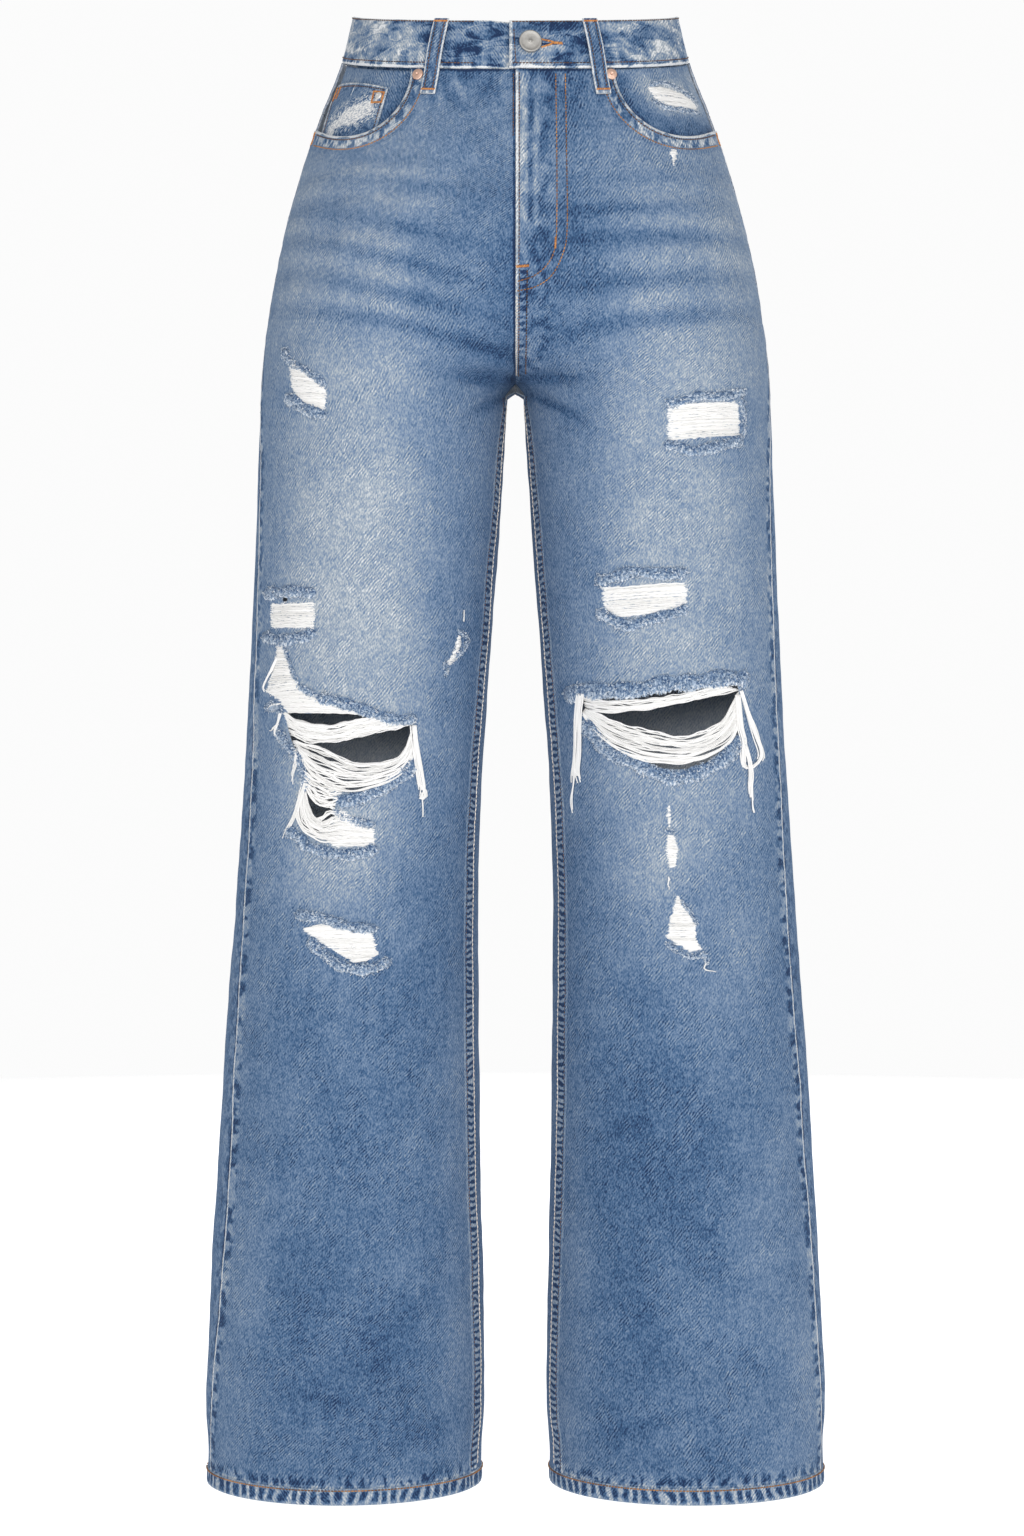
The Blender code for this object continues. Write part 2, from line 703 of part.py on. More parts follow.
JEANS = bpy.data.collections.new("ripped_jeans")
CUTTERS = bpy.data.collections.new("cutters")
for group in (JEANS, CUTTERS):
    bpy.context.scene.collection.children.link(group)

DENIM = finish("denim", (0.13, 0.22, 0.38), 0.85)
COTTON = finish("white_cotton", (0.78, 0.78, 0.76), 0.9)
NICKEL = finish("brushed_nickel", (0.55, 0.55, 0.55), 0.4, 1.0)
COPPER = finish("copper", (0.72, 0.42, 0.28), 0.35, 1.0)
BRASS = finish("brass", (0.66, 0.52, 0.27), 0.4, 1.0)

pocket_mouths = [oval_cutter(cut, *MOUTH_CUT, sides=40) for cut in POCKET_CUTS]
knee_holes = [oval_cutter(cut, *KNEE_CUT) for cut in KNEE_CUTS]
all_cuts = list(zip(POCKET_CUTS + KNEE_CUTS, pocket_mouths + knee_holes))

for hand, side_name in ((-1, "right"), (1, "left")):
    cutters = [cutter for cut, cutter in all_cuts if cut.hand == hand]
    front_panel(hand, side_name, cutters)
    back_pieces(hand, side_name)
    pocket_pieces(hand, side_name)
    back_pocket(hand, side_name)
    hem(hand, side_name)
waistband()
coin_pocket()
belt_loops()
zip_pieces()
waist_button()
rivets()
knee_strips()
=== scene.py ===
"""Ripped wide-leg jeans, hollow as when worn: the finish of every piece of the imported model.

The tables are in millimetres, and every mesh is made in metres. The front faces -Y, the wearer's
right is at -X, and a drop is measured down from the waist's top edge at the side seams.
"""

import math
from collections import namedtuple

import bpy
import numpy as np
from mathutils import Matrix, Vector
from mathutils.bvhtree import BVHTree


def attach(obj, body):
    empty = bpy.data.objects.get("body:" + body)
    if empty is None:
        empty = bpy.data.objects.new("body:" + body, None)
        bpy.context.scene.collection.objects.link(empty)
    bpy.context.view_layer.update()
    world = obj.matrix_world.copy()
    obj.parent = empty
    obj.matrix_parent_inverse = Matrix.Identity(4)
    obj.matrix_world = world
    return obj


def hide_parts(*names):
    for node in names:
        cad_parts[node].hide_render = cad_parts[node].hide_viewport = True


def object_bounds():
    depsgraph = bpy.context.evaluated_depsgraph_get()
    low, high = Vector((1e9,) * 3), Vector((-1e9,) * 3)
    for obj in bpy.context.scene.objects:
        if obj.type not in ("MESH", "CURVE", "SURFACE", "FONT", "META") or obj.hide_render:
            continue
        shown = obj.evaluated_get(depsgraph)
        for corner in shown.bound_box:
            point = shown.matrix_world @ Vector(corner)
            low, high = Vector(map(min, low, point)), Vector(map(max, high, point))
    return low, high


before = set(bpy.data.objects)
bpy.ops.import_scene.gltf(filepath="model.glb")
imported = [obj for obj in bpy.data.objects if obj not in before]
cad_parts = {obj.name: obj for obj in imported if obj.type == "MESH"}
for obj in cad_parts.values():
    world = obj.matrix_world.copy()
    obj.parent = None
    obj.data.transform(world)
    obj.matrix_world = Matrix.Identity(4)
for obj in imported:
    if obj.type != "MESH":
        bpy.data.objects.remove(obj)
cad_box = [list(corner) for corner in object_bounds()]
MM = 0.001

# ---------------------------------------------------------------- camera, light and floor
# The jeans hang a little above a plain pale floor, as on a wearer who is not there.
# Three large soft lamps and an even pale sky light them nearly flat.
bottom = cad_box[0][2]
camera = bpy.data.objects.new("camera", bpy.data.cameras.new("camera"))
camera.data.lens = 72.8
camera.location = (-0.0026, -2.3, -0.5565)
camera.rotation_euler = (math.pi / 2, 0, 0)
bpy.context.scene.collection.objects.link(camera)
bpy.context.scene.camera = camera

Lamp = namedtuple("Lamp", "name place target size watts")
LAMPS = (
    Lamp("key_lamp", (-0.35, -3.5, 0.0), (0, 0, -0.5), 1.2, 51),
    Lamp("fill_lamp", (1.7, -2.8, 0.3), (0, 0, -0.6), 1.6, 19),
    Lamp("back_lamp", (0.6, 3.0, 1.2), (0, 0, -0.5), 2.2, 70),
)
for lamp in LAMPS:
    light = bpy.data.lights.new(lamp.name, "AREA")
    light.shape, light.size, light.energy = "DISK", lamp.size, lamp.watts
    holder = bpy.data.objects.new(lamp.name, light)
    holder.location = lamp.place
    aim = Vector(lamp.target) - Vector(lamp.place)
    holder.rotation_euler = aim.to_track_quat("-Z", "Y").to_euler()
    bpy.context.scene.collection.objects.link(holder)

bpy.context.scene.view_settings.view_transform = "Standard"


def srgb(*screen):
    """A colour named by its 0 to 255 screen values, as the shader's linear ones."""
    return tuple(((v / 255 + 0.055) / 1.055) ** 2.4 if v > 10 else v / 3294.6 for v in screen)


class Wire:
    """A shader socket: sums on it add Math nodes, and `node` adds any other node."""

    tree = None

    def __init__(self, socket):
        self.socket = socket

    @classmethod
    def start(cls, name):
        material = bpy.data.materials.new(name)
        material.use_nodes = True
        cls.tree = material.node_tree
        return material

    @classmethod
    def node(cls, kind, settings=None, sockets=None, out=0):
        """A node of this type: its settings first, then its sockets' values or links."""
        made = cls.tree.nodes.new(kind)
        for key, value in (settings or {}).items():
            if key == "stops":
                ramp = made.color_ramp.elements
                while len(ramp) < len(value):
                    ramp.new(1)
                for stop, (place, colour) in zip(ramp, value):
                    stop.position, stop.color = place, (*colour, 1)
            else:
                setattr(made, key, value)
        for key, value in (sockets or {}).items():
            cls.put(made.inputs[key], value)
        return cls(made.outputs[out])

    @classmethod
    def put(cls, entry, value):
        if isinstance(value, Wire):
            cls.tree.links.new(value.socket, entry)
        elif isinstance(value, tuple) and len(value) == 3 and len(entry.default_value) == 4:
            entry.default_value = (*value, 1)
        else:
            entry.default_value = value

    def maths(self, operation, *values):
        operands = dict(enumerate((self, *values)))
        return self.node("ShaderNodeMath", {"operation": operation}, operands)

    def __add__(self, other):
        return self.maths("ADD", other)

    def __mul__(self, other):
        return self.maths("MULTIPLY", other)

    def __sub__(self, other):
        return self.maths("SUBTRACT", other)

    def __rsub__(self, other):
        return (self * -1) + other

    __radd__, __rmul__ = __add__, __mul__

    def sine(self):
        return self.maths("SINE")

    def rise(self, low, high):
        """0 below low, 1 above high, and a soft step between; low may be the greater."""
        settings = {"interpolation_type": "SMOOTHSTEP"}
        return self.node("ShaderNodeMapRange", settings, {"Value": self, "From Min": low, "From Max": high})

    def strip(self, before, first, last, after):
        """1 from first to last, falling softly to 0 by before and after."""
        return self.rise(before, first) * self.rise(after, last)

    def tint(self, low, high):
        """From colour low at 0 to colour high at 1."""
        sockets = {0: self, 6: low, 7: high}
        return self.node("ShaderNodeMix", {"data_type": "RGBA"}, sockets, out=2)

    def ramp(self, *stops):
        return self.node("ShaderNodeValToRGB", {"stops": stops}, {"Fac": self})

    @classmethod
    def field(cls, name):
        """A value kept at the mesh's points."""
        return cls.node("ShaderNodeAttribute", {"attribute_name": name}, out="Fac")

    @classmethod
    def noise(cls, size, stretch=(1, 1, 1), turn=0.0, detail=1.0, rough=0.5, curl=0.0):
        """Noise from 0 to 1 with blots of about `size` millimetres, stretched and turned about Y."""
        here = cls.node("ShaderNodeTexCoord", out="Object")
        places = {"Vector": here, "Rotation": (0, math.radians(turn), 0), "Scale": stretch}
        sockets = {"Vector": cls.node("ShaderNodeMapping", {}, places), "Scale": 1000 / size}
        sockets.update({"Detail": detail, "Roughness": rough, "Distortion": curl})
        return cls.node("ShaderNodeTexNoise", {}, sockets, out="Fac")

    @classmethod
    def bump(cls, height, depth):
        """A normal from a height, whose full range is `depth` millimetres."""
        return cls.node("ShaderNodeBump", {}, {"Height": height, "Distance": depth * MM, "Strength": 1.0})

    @classmethod
    def finish(cls, constants, **links):
        """The values and links of the Principled shader."""
        entries = cls.tree.nodes["Principled BSDF"].inputs
        for key, value in constants.items():
            cls.put(entries[key], value)
        for key, value in links.items():
            cls.put(entries[key.replace("_", " ")], value)


def solid(name, points, quads, material, bake_map=None, **fields):
    """A smooth mesh of four-cornered faces, with a value of each field at every point."""
    mesh = bpy.data.meshes.new(name)
    mesh.vertices.add(len(points))
    mesh.vertices.foreach_set("co", (np.asarray(points) * MM).ravel())
    mesh.loops.add(len(quads) * 4)
    mesh.loops.foreach_set("vertex_index", np.asarray(quads, np.int32).ravel())
    mesh.polygons.add(len(quads))
    mesh.polygons.foreach_set("loop_start", np.arange(0, len(quads) * 4, 4, dtype=np.int32))
    mesh.update(calc_edges=True)
    mesh.shade_smooth()
    for key, values in fields.items():
        kept = mesh.attributes.new(key, "FLOAT", "POINT")
        kept.data.foreach_set("value", np.ravel(values).astype(np.float32))
    if bake_map is not None:
        layer = mesh.uv_layers.new(name="OFBake")
        layer.data.foreach_set("uv", bake_map[np.ravel(quads)].astype(np.float32).ravel())
    mesh.materials.append(material)
    piece = bpy.data.objects.new(name, mesh)
    bpy.context.scene.collection.objects.link(piece)
    return piece


SKY_SEEN, SKY_LIGHT = 0.97, 0.5
sky = bpy.data.worlds.new("pale_sky")
sky.use_nodes = True
Wire.tree = sky.node_tree
backdrop = sky.node_tree.nodes["Background"].inputs
Wire.put(backdrop["Color"], (1, 1, 1))
seen = Wire.node("ShaderNodeLightPath", out="Is Camera Ray")
Wire.put(backdrop["Strength"], seen * (SKY_SEEN - SKY_LIGHT) + SKY_LIGHT)
bpy.context.scene.world = sky

FLOOR_BELOW, FLOOR_RADIUS, FLOOR_CORNERS = 90.0, 4000.0, 96
floor_paint = Wire.start("pale_floor")
Wire.finish(
    {"Roughness": 0.9, "Emission Color": (1, 1, 1), "Emission Strength": 0.36},
    Base_Color=(Wire.noise(900, detail=2.0) * 0.3).tint((0.92,) * 3, (0.94,) * 3),
)
floor_z = bottom / MM - FLOOR_BELOW
corners = []
for angle in np.arange(FLOOR_CORNERS) * 2 * math.pi / FLOOR_CORNERS:
    corners.append((FLOOR_RADIUS * math.cos(angle), FLOOR_RADIUS * math.sin(angle), floor_z))
strips = [(k, k + 1, FLOOR_CORNERS - 2 - k, FLOOR_CORNERS - 1 - k) for k in range(FLOOR_CORNERS // 2 - 1)]
solid("floor", corners, strips, floor_paint)

# ---------------------------------------------------------------- front panels
# Each is one piece of 12 oz denim from the waistband to the hem: indigo warp and white weft in a
# right-hand twill, stone-washed, with its pocket mouth cut out and its rips torn through or
# worn down to the weft.
CLOTH, SEAM_GAP = 1.2, 0.3
FORK = 279.0  # drop of the crotch point
FORK_ROUND, BRIDGE, BRIDGE_HEIGHT = 4.0, 8, 8.0
BAND_HEIGHT, HEM_DROP, HEM_HEIGHT = 34.0, 1083.0, 12.5
PANEL_TOP, HEM_TOP = BAND_HEIGHT + 0.4, HEM_DROP - HEM_HEIGHT
PANEL_FOOT = HEM_TOP + 1.0  # tucked into the hem's rounded top
SIDES = {-1: "right", 1: "left"}

# Half of the garment. Each row is a drop, the side seam's place, the crease's, and the depths in
# front and behind.
BODY = np.array(
    (
        (0, 119.5, 20, 88, 90), (34, 128, 24, 95, 97), (78, 145, 34, 104, 110),
        (110, 156, 43, 108, 119), (150, 167.5, 56, 111, 128), (190, 176.5, 69, 112, 132),
        (230, 183, 83, 111, 130), (262, 186.5, 92, 108.5, 125), (279, 187.6, 95.3, 106.5, 120.5),
        (310, 189, 98.9, 103, 113.5), (350, 190.5, 101.2, 99, 106.5), (400, 192.3, 103.7, 95, 100),
        (450, 194.6, 106.2, 91.3, 95), (500, 197, 109, 88, 91), (550, 199.5, 112, 86.5, 88),
        (600, 203, 114.7, 85.5, 86), (660, 207, 117.4, 84.5, 84.5), (720, 211.5, 119.4, 84, 83.5),
        (780, 216, 121.4, 83.5, 83), (840, 219.5, 122.8, 83, 82.5), (900, 223.2, 124, 82.5, 82.5),
        (950, 225.8, 124.8, 82.5, 82.5), (1000, 228.2, 125.6, 82.5, 83), (1030, 228.5, 125.8, 83, 83),
        (1055, 227, 126, 83.5, 83.5), (1083, 227.6, 126.6, 84, 84),
    )
)  # fmt: skip
DROP, SIDE, CREASE = 0, 1, 2
DEPTH = {"front": 3, "back": 4}

# Each row is a drop, half of the gap between the legs, and how far the inseam and each side seam
# stand forward of the leg's inner and outer edge, as seen from the front.
LEG_SEAMS = np.array(
    (
        (230, 5.8, 0, 0, 0), (279, 5.8, 0, 1, 1), (310, 7.4, 1.4, 2.6, 3.4), (350, 9.8, 2.2, 4, 5),
        (400, 13.3, 2.6, 5, 6.2), (450, 17, 2.8, 5.8, 6.8), (500, 20.6, 3.2, 6.8, 7.2),
        (550, 24, 3.5, 8, 7.6), (600, 26.4, 3.8, 9.3, 8.5), (660, 27.7, 4, 9.4, 9.8),
        (720, 27.3, 4.2, 10.2, 9.8), (780, 26.7, 4.2, 11.2, 9.4), (840, 26, 3.9, 12.2, 8.8),
        (900, 24.7, 3.5, 11.8, 7.6), (950, 23.7, 3.1, 10, 6.6), (1000, 22.9, 2.8, 7.8, 5.6),
        (1030, 23, 2.8, 6, 4.6), (1055, 25, 3, 3.6, 2.8), (1083, 25.6, 3.2, 4.6, 3.8),
    )
)  # fmt: skip
GAP, INSEAM = 1, 2
SIDE_SEAM = {-1: 3, 1: 4}

CentreSeam = namedtuple("CentreSeam", "start bend")
CENTRE_SEAM = {"front": CentreSeam(168, 2.4), "back": CentreSeam(135, 2.3)}
WAIST_TILT = {"front": 0.272, "back": -0.09}
TILT_FULL, TILT_GONE = 40.0, 190.0

# The largest folds, soft troughs (a depth over 0) and ridges (under 0), as the solids have them.
# Each row is x, z, reach, width, slope in degrees and depth.
FOLDS = {
    "front": (
        (-107, -978, 44, 17, -28, 3.5), (-92, -1012, 40, 15, -22, -2.5), (126, -974, 56, 17, -22, 3.5),
        (140, -1008, 46, 15, -18, -2.5), (-120, -560, 60, 22, 0, -2), (118, -548, 60, 22, 0, -2),
    ),
    "back": (
        (-100, -300, 60, 18, 24, 4), (104, -304, 56, 18, -22, 4), (-112, -500, 62, 18, 8, 4),
        (118, -506, 58, 18, -10, 3.5), (-126, -548, 50, 16, -12, 3), (108, -556, 54, 16, 9, 3),
        (-132, -985, 46, 17, -20, 3.5), (122, -978, 50, 17, 22, 3.5),
    ),
}  # fmt: skip


def along(table, column, drop):
    """A column of a table at any drops, on a smooth curve through its rows."""
    rows, values = table[:, DROP], table[:, column]
    drop = np.clip(drop, rows[0], rows[-1])
    i = np.clip(np.searchsorted(rows, drop, "right") - 1, 0, len(rows) - 2)
    low, high = np.maximum(np.arange(len(rows)) - 1, 0), np.minimum(np.arange(len(rows)) + 1, len(rows) - 1)
    slope = (values[high] - values[low]) / (rows[high] - rows[low])
    span = rows[i + 1] - rows[i]
    t = (drop - rows[i]) / span
    start = (2 * t**3 - 3 * t**2 + 1) * values[i] + (t**3 - 2 * t**2 + t) * span * slope[i]
    end = (3 * t**2 - 2 * t**3) * values[i + 1] + (t**3 - t**2) * span * slope[i + 1]
    return start + end


def section(face, drop, turn):
    """x and depth on one half; turn is 0 at the centre seam or inseam, 1 at the crease, 2 at the side."""
    side, crease, depth = along(BODY, SIDE, drop), along(BODY, CREASE, drop), along(BODY, DEPTH[face], drop)
    seam = CENTRE_SEAM[face]
    gone = np.clip((drop - seam.start) / (FORK - seam.start), 0, 1)
    centre = depth * (1 - gone**seam.bend) ** (1 / seam.bend)
    gap = along(LEG_SEAMS, GAP, drop) * np.clip(1 - (FORK - drop) / 50, 0, 1)
    opened = np.clip((drop - FORK) / FORK_ROUND, 0, 1)
    inner = np.maximum(gap * np.sqrt(1 - (1 - opened) ** 2), SEAM_GAP / 2)
    oval_centre = centre * (1 - np.exp(-np.maximum(FORK - drop, 0) / BRIDGE_HEIGHT))
    start = np.arcsin(np.minimum(oval_centre / depth, 0.9985))
    inward = np.minimum(turn, 1)
    angle = start + inward * (math.pi / 2 - start)
    bridge = np.cos(inward * math.pi / 2) ** BRIDGE
    x = crease - (crease - gap) * np.cos(angle) / np.cos(start) - (gap - inner) * bridge
    y = depth * np.sin(angle) + (centre - depth * np.sin(start)) * bridge
    outward = np.maximum(turn - 1, 0) * math.pi / 2
    return (
        np.where(turn > 1, crease + (side - crease) * np.sin(outward), x),
        np.where(turn > 1, depth * np.cos(outward), y),
    )


def fold_depth(folds, x, z):
    """How far the folds push the cloth inwards."""
    pushed = 0.0
    for middle_x, middle_z, reach, width, slope, depth in folds:
        lean = math.radians(slope)
        run = (x - middle_x) * math.cos(lean) + (z - middle_z) * math.sin(lean)
        rise = (z - middle_z) * math.cos(lean) - (x - middle_x) * math.sin(lean)
        pushed = pushed + depth * np.exp(-((run / reach) ** 2) - (rise / width) ** 2)
    return pushed


def unit(vectors):
    """The same directions, each with a length of 1."""
    return vectors / (np.linalg.norm(vectors, axis=-1, keepdims=True) + 1e-12)


def bare_skin(face, hand, drop, turn):
    """Points of the cloth's outer surface: a section's, tilted towards the waist, with the folds in."""
    drop, turn = np.broadcast_arrays(np.asarray(drop, float), np.asarray(turn, float))
    x, depth = section(face, drop, turn)
    fade = np.clip((TILT_GONE - drop) / (TILT_GONE - TILT_FULL), 0, 1)
    z = -drop - WAIST_TILT[face] * depth * fade**2 * (3 - 2 * fade)
    depth = depth + SEAM_GAP / 2 - fold_depth(FOLDS[face], hand * x, z) * np.minimum(depth / 40, 1)
    return np.stack((hand * x, -depth if face == "front" else depth, z), -1)


def normal_at(face, hand, drop, turn):
    """Outward direction of the cloth."""
    low, high = np.maximum(turn - 0.01, 0), np.minimum(turn + 0.01, 2)
    across = bare_skin(face, hand, drop, high) - bare_skin(face, hand, drop, low)
    down = bare_skin(face, hand, drop + 0.5, turn) - bare_skin(face, hand, drop - 0.5, turn)
    facing = (1 if face == "front" else -1) * np.reshape(hand, np.shape(hand) + (1,))
    return unit(np.cross(down, across) * facing)


def skin(face, hand, drop, turn, out=0.0):
    """Points of the garment's outer surface, moved out by a distance."""
    hand, drop, turn, out = np.broadcast_arrays(hand, np.asarray(drop, float), turn, out)
    return bare_skin(face, hand, drop, turn) + normal_at(face, hand, drop, turn) * out[..., None]


def turn_at(drop, x):
    """The turn at which a section reaches the distance x from the middle."""
    low, high = np.zeros(np.broadcast(drop, x).shape), np.full(np.broadcast(drop, x).shape, 2.0)
    for _ in range(24):
        middle = (low + high) / 2
        short = section("front", np.asarray(drop, float), middle)[0] < x
        low, high = np.where(short, middle, low), np.where(short, high, middle)
    return (low + high) / 2


def skin_x(face, x, drop, out):
    """The same points, given their distance from the middle: under 0 on the wearer's right."""
    x, drop = np.broadcast_arrays(np.asarray(x, float), np.asarray(drop, float))
    return skin(face, np.where(x < 0, -1, 1), drop, turn_at(drop, abs(x)), out)


def side_turn(hand, drop):
    """The turn at which the front panel meets the back panel at the side seam."""
    span = along(BODY, SIDE, drop) - along(BODY, CREASE, drop)
    forward = np.maximum(along(LEG_SEAMS, SIDE_SEAM[hand], drop), 0)
    return 1 + np.arcsin(1 - forward / span) * 2 / math.pi


def inseam_turn(drop):
    """The turn at which the front panel meets the back panel at the inseam."""
    span = along(BODY, CREASE, drop) - along(LEG_SEAMS, GAP, drop)
    forward = np.maximum(along(LEG_SEAMS, INSEAM, drop), 0)
    return np.arccos(1 - forward / span) * 2 / math.pi


def outward(points, turned):
    """Unit normals of a grid of points whose rows run down and columns run across."""
    normal = np.cross(np.gradient(points, axis=0), np.gradient(points, axis=1))
    return unit(-normal if turned else normal)


def arc_lengths(points):
    """How far each point of a path, or of a grid's row, lies along it."""
    steps = np.linalg.norm(np.diff(points, axis=-2), axis=-1)
    return np.concatenate((np.zeros(steps.shape[:-1] + (1,)), np.cumsum(steps, axis=-1)), axis=-1)


def bell(x, middle, width):
    """1 at the middle, with a soft fall on both sides of it."""
    return np.exp(-(((x - middle) / width) ** 2))


def smooth_curve(points, step, closed=False):
    """A smooth curve through a few points, as a list of points about a step apart."""
    knots = np.asarray(points, float)
    if closed:
        knots = np.concatenate((knots[-1:], knots, knots[:2]))
    else:
        knots = np.concatenate((2 * knots[:1] - knots[1:2], knots, 2 * knots[-1:] - knots[-2:-1]))
    made = []
    for a, b, c, d in zip(knots, knots[1:], knots[2:], knots[3:]):
        count = max(int(np.linalg.norm(c - b) / step), 1)
        t = (np.arange(count) / count)[:, None]
        made.append(b + 0.5 * t * (c - a + t * (2 * a - 5 * b + 4 * c - d + t * (3 * (b - c) + d - a))))
    if not closed:
        made.append(knots[-2:-1])
    return np.concatenate(made)


def outline_distance(places, outline):
    """Distance from a closed outline, under 0 inside it, and the nearest place on it."""
    flat = places.reshape(-1, 2)
    start, end = outline, np.roll(outline, -1, axis=0)
    run = end - start
    to = flat[:, None] - start
    share = np.clip((to * run).sum(-1) / ((run**2).sum(-1) + 1e-9), 0, 1)
    gaps = np.linalg.norm(to - share[..., None] * run, axis=-1)
    best = gaps.argmin(1)
    pick = np.arange(len(flat))
    near = start[best] + share[pick, best][:, None] * run[best]
    above = (start[:, 1] > flat[:, 1:]) != (end[:, 1] > flat[:, 1:])
    rise = np.where(run[:, 1] == 0, 1e-9, run[:, 1])
    crossing = start[:, 0] + (flat[:, 1:] - start[:, 1]) * run[:, 0] / rise
    inside = (above & (flat[:, :1] < crossing)).sum(1) % 2 == 1
    distance = np.where(inside, -1, 1) * gaps[pick, best]
    return distance.reshape(places.shape[:-1]), near.reshape(places.shape)


def cut_out(points, normals, outline, kept):
    """Leaves out the squares of a grid inside an outline, and brings the new edge to it."""
    places = points[..., [0, 2]]
    low, high = outline.min(0) - 8, outline.max(0) + 8
    close = ((places > low) & (places < high)).all(-1)
    distance = np.full(places.shape[:-1], 99.0)
    near = places.copy()
    if close.any():
        distance[close], near[close] = outline_distance(places[close], outline)
    middle = (distance[:-1, :-1] + distance[1:, :-1] + distance[:-1, 1:] + distance[1:, 1:]) / 4
    gone = middle < 0
    kept &= ~gone
    touched = np.zeros(places.shape[:-1], bool)
    for i in (0, 1):
        for j in (0, 1):
            touched[i : i + len(gone), j : j + gone.shape[1]] |= gone
    shift = near[touched] - places[touched]
    lean = normals[touched]
    points[touched, 0] += shift[:, 0]
    points[touched, 2] += shift[:, 1]
    points[touched, 1] -= (lean[:, 0] * shift[:, 0] + lean[:, 2] * shift[:, 1]) / lean[:, 1]


def ripple(x, z, size, seed):
    """Uneven waves from -1 to 1, about `size` millimetres long."""
    draw = np.random.default_rng(seed)
    total = 0.0
    for _ in range(7):
        angle, phase = draw.uniform(0, 2 * math.pi), draw.uniform(0, 6.3)
        pitch = size * draw.uniform(0.7, 1.5)
        total = total + np.sin((x * math.cos(angle) + z * math.sin(angle)) * 2 * math.pi / pitch + phase)
    return total / 4


def squares(index, ring=False):
    """Four-cornered faces between a grid's numbered points; where each row is a ring, it is closed."""
    here, after = (index, np.roll(index, -1, axis=1)) if ring else (index[:, :-1], index[:, 1:])
    return np.stack((here[:-1], here[1:], after[1:], after[:-1]), -1).reshape(-1, 4)


def cover(piece, node):
    """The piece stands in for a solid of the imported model, and stays on the one body."""
    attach(piece, "root")
    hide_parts(node)
    return piece


def cloth(node, outer, normals, material, wall=CLOTH, kept=None, turned=False, **fields):
    """A node's closed wall of cloth: a grid of points, the same grid moved in, and the edges between."""
    rows, columns = outer.shape[:2]
    quads = squares(np.arange(rows * columns).reshape(rows, columns))
    quads = quads if kept is None else quads[kept.ravel()]
    if turned:
        quads = quads[:, ::-1]
    inner = outer - normals * np.reshape(wall, np.shape(wall) + (1,) * (3 - np.ndim(wall)))
    total = rows * columns
    starts, ends = quads.ravel(), np.roll(quads, -1, axis=1).ravel()
    rim = ~np.isin(starts * total + ends, ends * total + starts)
    a, b = starts[rim], ends[rim]
    faces = np.concatenate((quads, quads[:, ::-1] + total, np.stack((b, a, a + total, b + total), -1)))
    used = np.unique(faces)
    place = np.full(2 * total, -1)
    place[used] = np.arange(len(used))
    across, down = np.meshgrid(np.arange(columns) / (columns - 1), np.arange(rows) / (rows - 1))
    outside = np.stack((across.ravel() * 0.49, down.ravel() * 0.98), -1)
    bake_map = np.concatenate((outside, outside + (0.505, 0)))[used] + 0.004
    points = np.concatenate((outer.reshape(-1, 3), inner.reshape(-1, 3)))[used]
    values = {key: np.tile(np.broadcast_to(v, (rows, columns)).ravel(), 2)[used] for key, v in fields.items()}
    values["inside"] = (used >= total).astype(float)
    return cover(solid(node + "_cloth", points, place[faces], material, bake_map, **values), node)


# Creases too fine for the solids: whiskers at the hips, pulls at the crotch, and puckers.
CREASES = {
    "front": (
        (-150, -128, 52, 5.5, 5, 0.9), (-140, -150, 62, 6, 2, 1.1), (-145, -174, 58, 6, -3, 0.9),
        (-138, -200, 66, 7, -6, 1.2), (-142, -228, 62, 7, -10, 1), (150, -126, 50, 5.5, -4, 0.8),
        (138, -148, 60, 6, 0, 1), (146, -176, 60, 6.5, 4, 1), (136, -203, 64, 6.5, 7, 1.1),
        (144, -231, 60, 7, 10, 0.9), (-14, -275, 34, 3.2, 2, 2.2), (-18, -259, 28, 5, -14, 1.6),
        (-12, -289, 17, 3.2, 38, 2.2), (16, -277, 32, 3.4, -6, 1.9), (22, -292, 26, 3.4, -34, 2),
        (20, -255, 34, 6, 12, 1.2), (-26, -279, 20, 2.4, -3, 2), (30, -277, 18, 2.4, -6, 1.8),
        (-24, -296, 13, 2.6, 40, 1.6), (30, -297, 18, 2.6, -32, 1.8), (-34, -82, 5, 26, 12, 0.7),
        (-46, -78, 4, 20, 30, 0.6), (-60, -1030, 36, 6, 24, 1.2), (-150, -1004, 30, 6, -20, 1),
        (88, -1028, 40, 6, 18, 1.2), (176, -986, 28, 6, -30, 1),
    ),
    "back": (
        (-60, -255, 50, 5, 30, 1.6), (62, -258, 48, 5, -28, 1.6), (-30, -282, 30, 4, 20, 1.8),
        (32, -284, 30, 4, -22, 1.8), (-120, -522, 52, 6, -6, 1.4), (114, -530, 50, 6, 6, 1.4),
        (-92, -478, 44, 6, 14, 1.2), (134, -480, 46, 6, -12, 1.2),
    ),
}  # fmt: skip

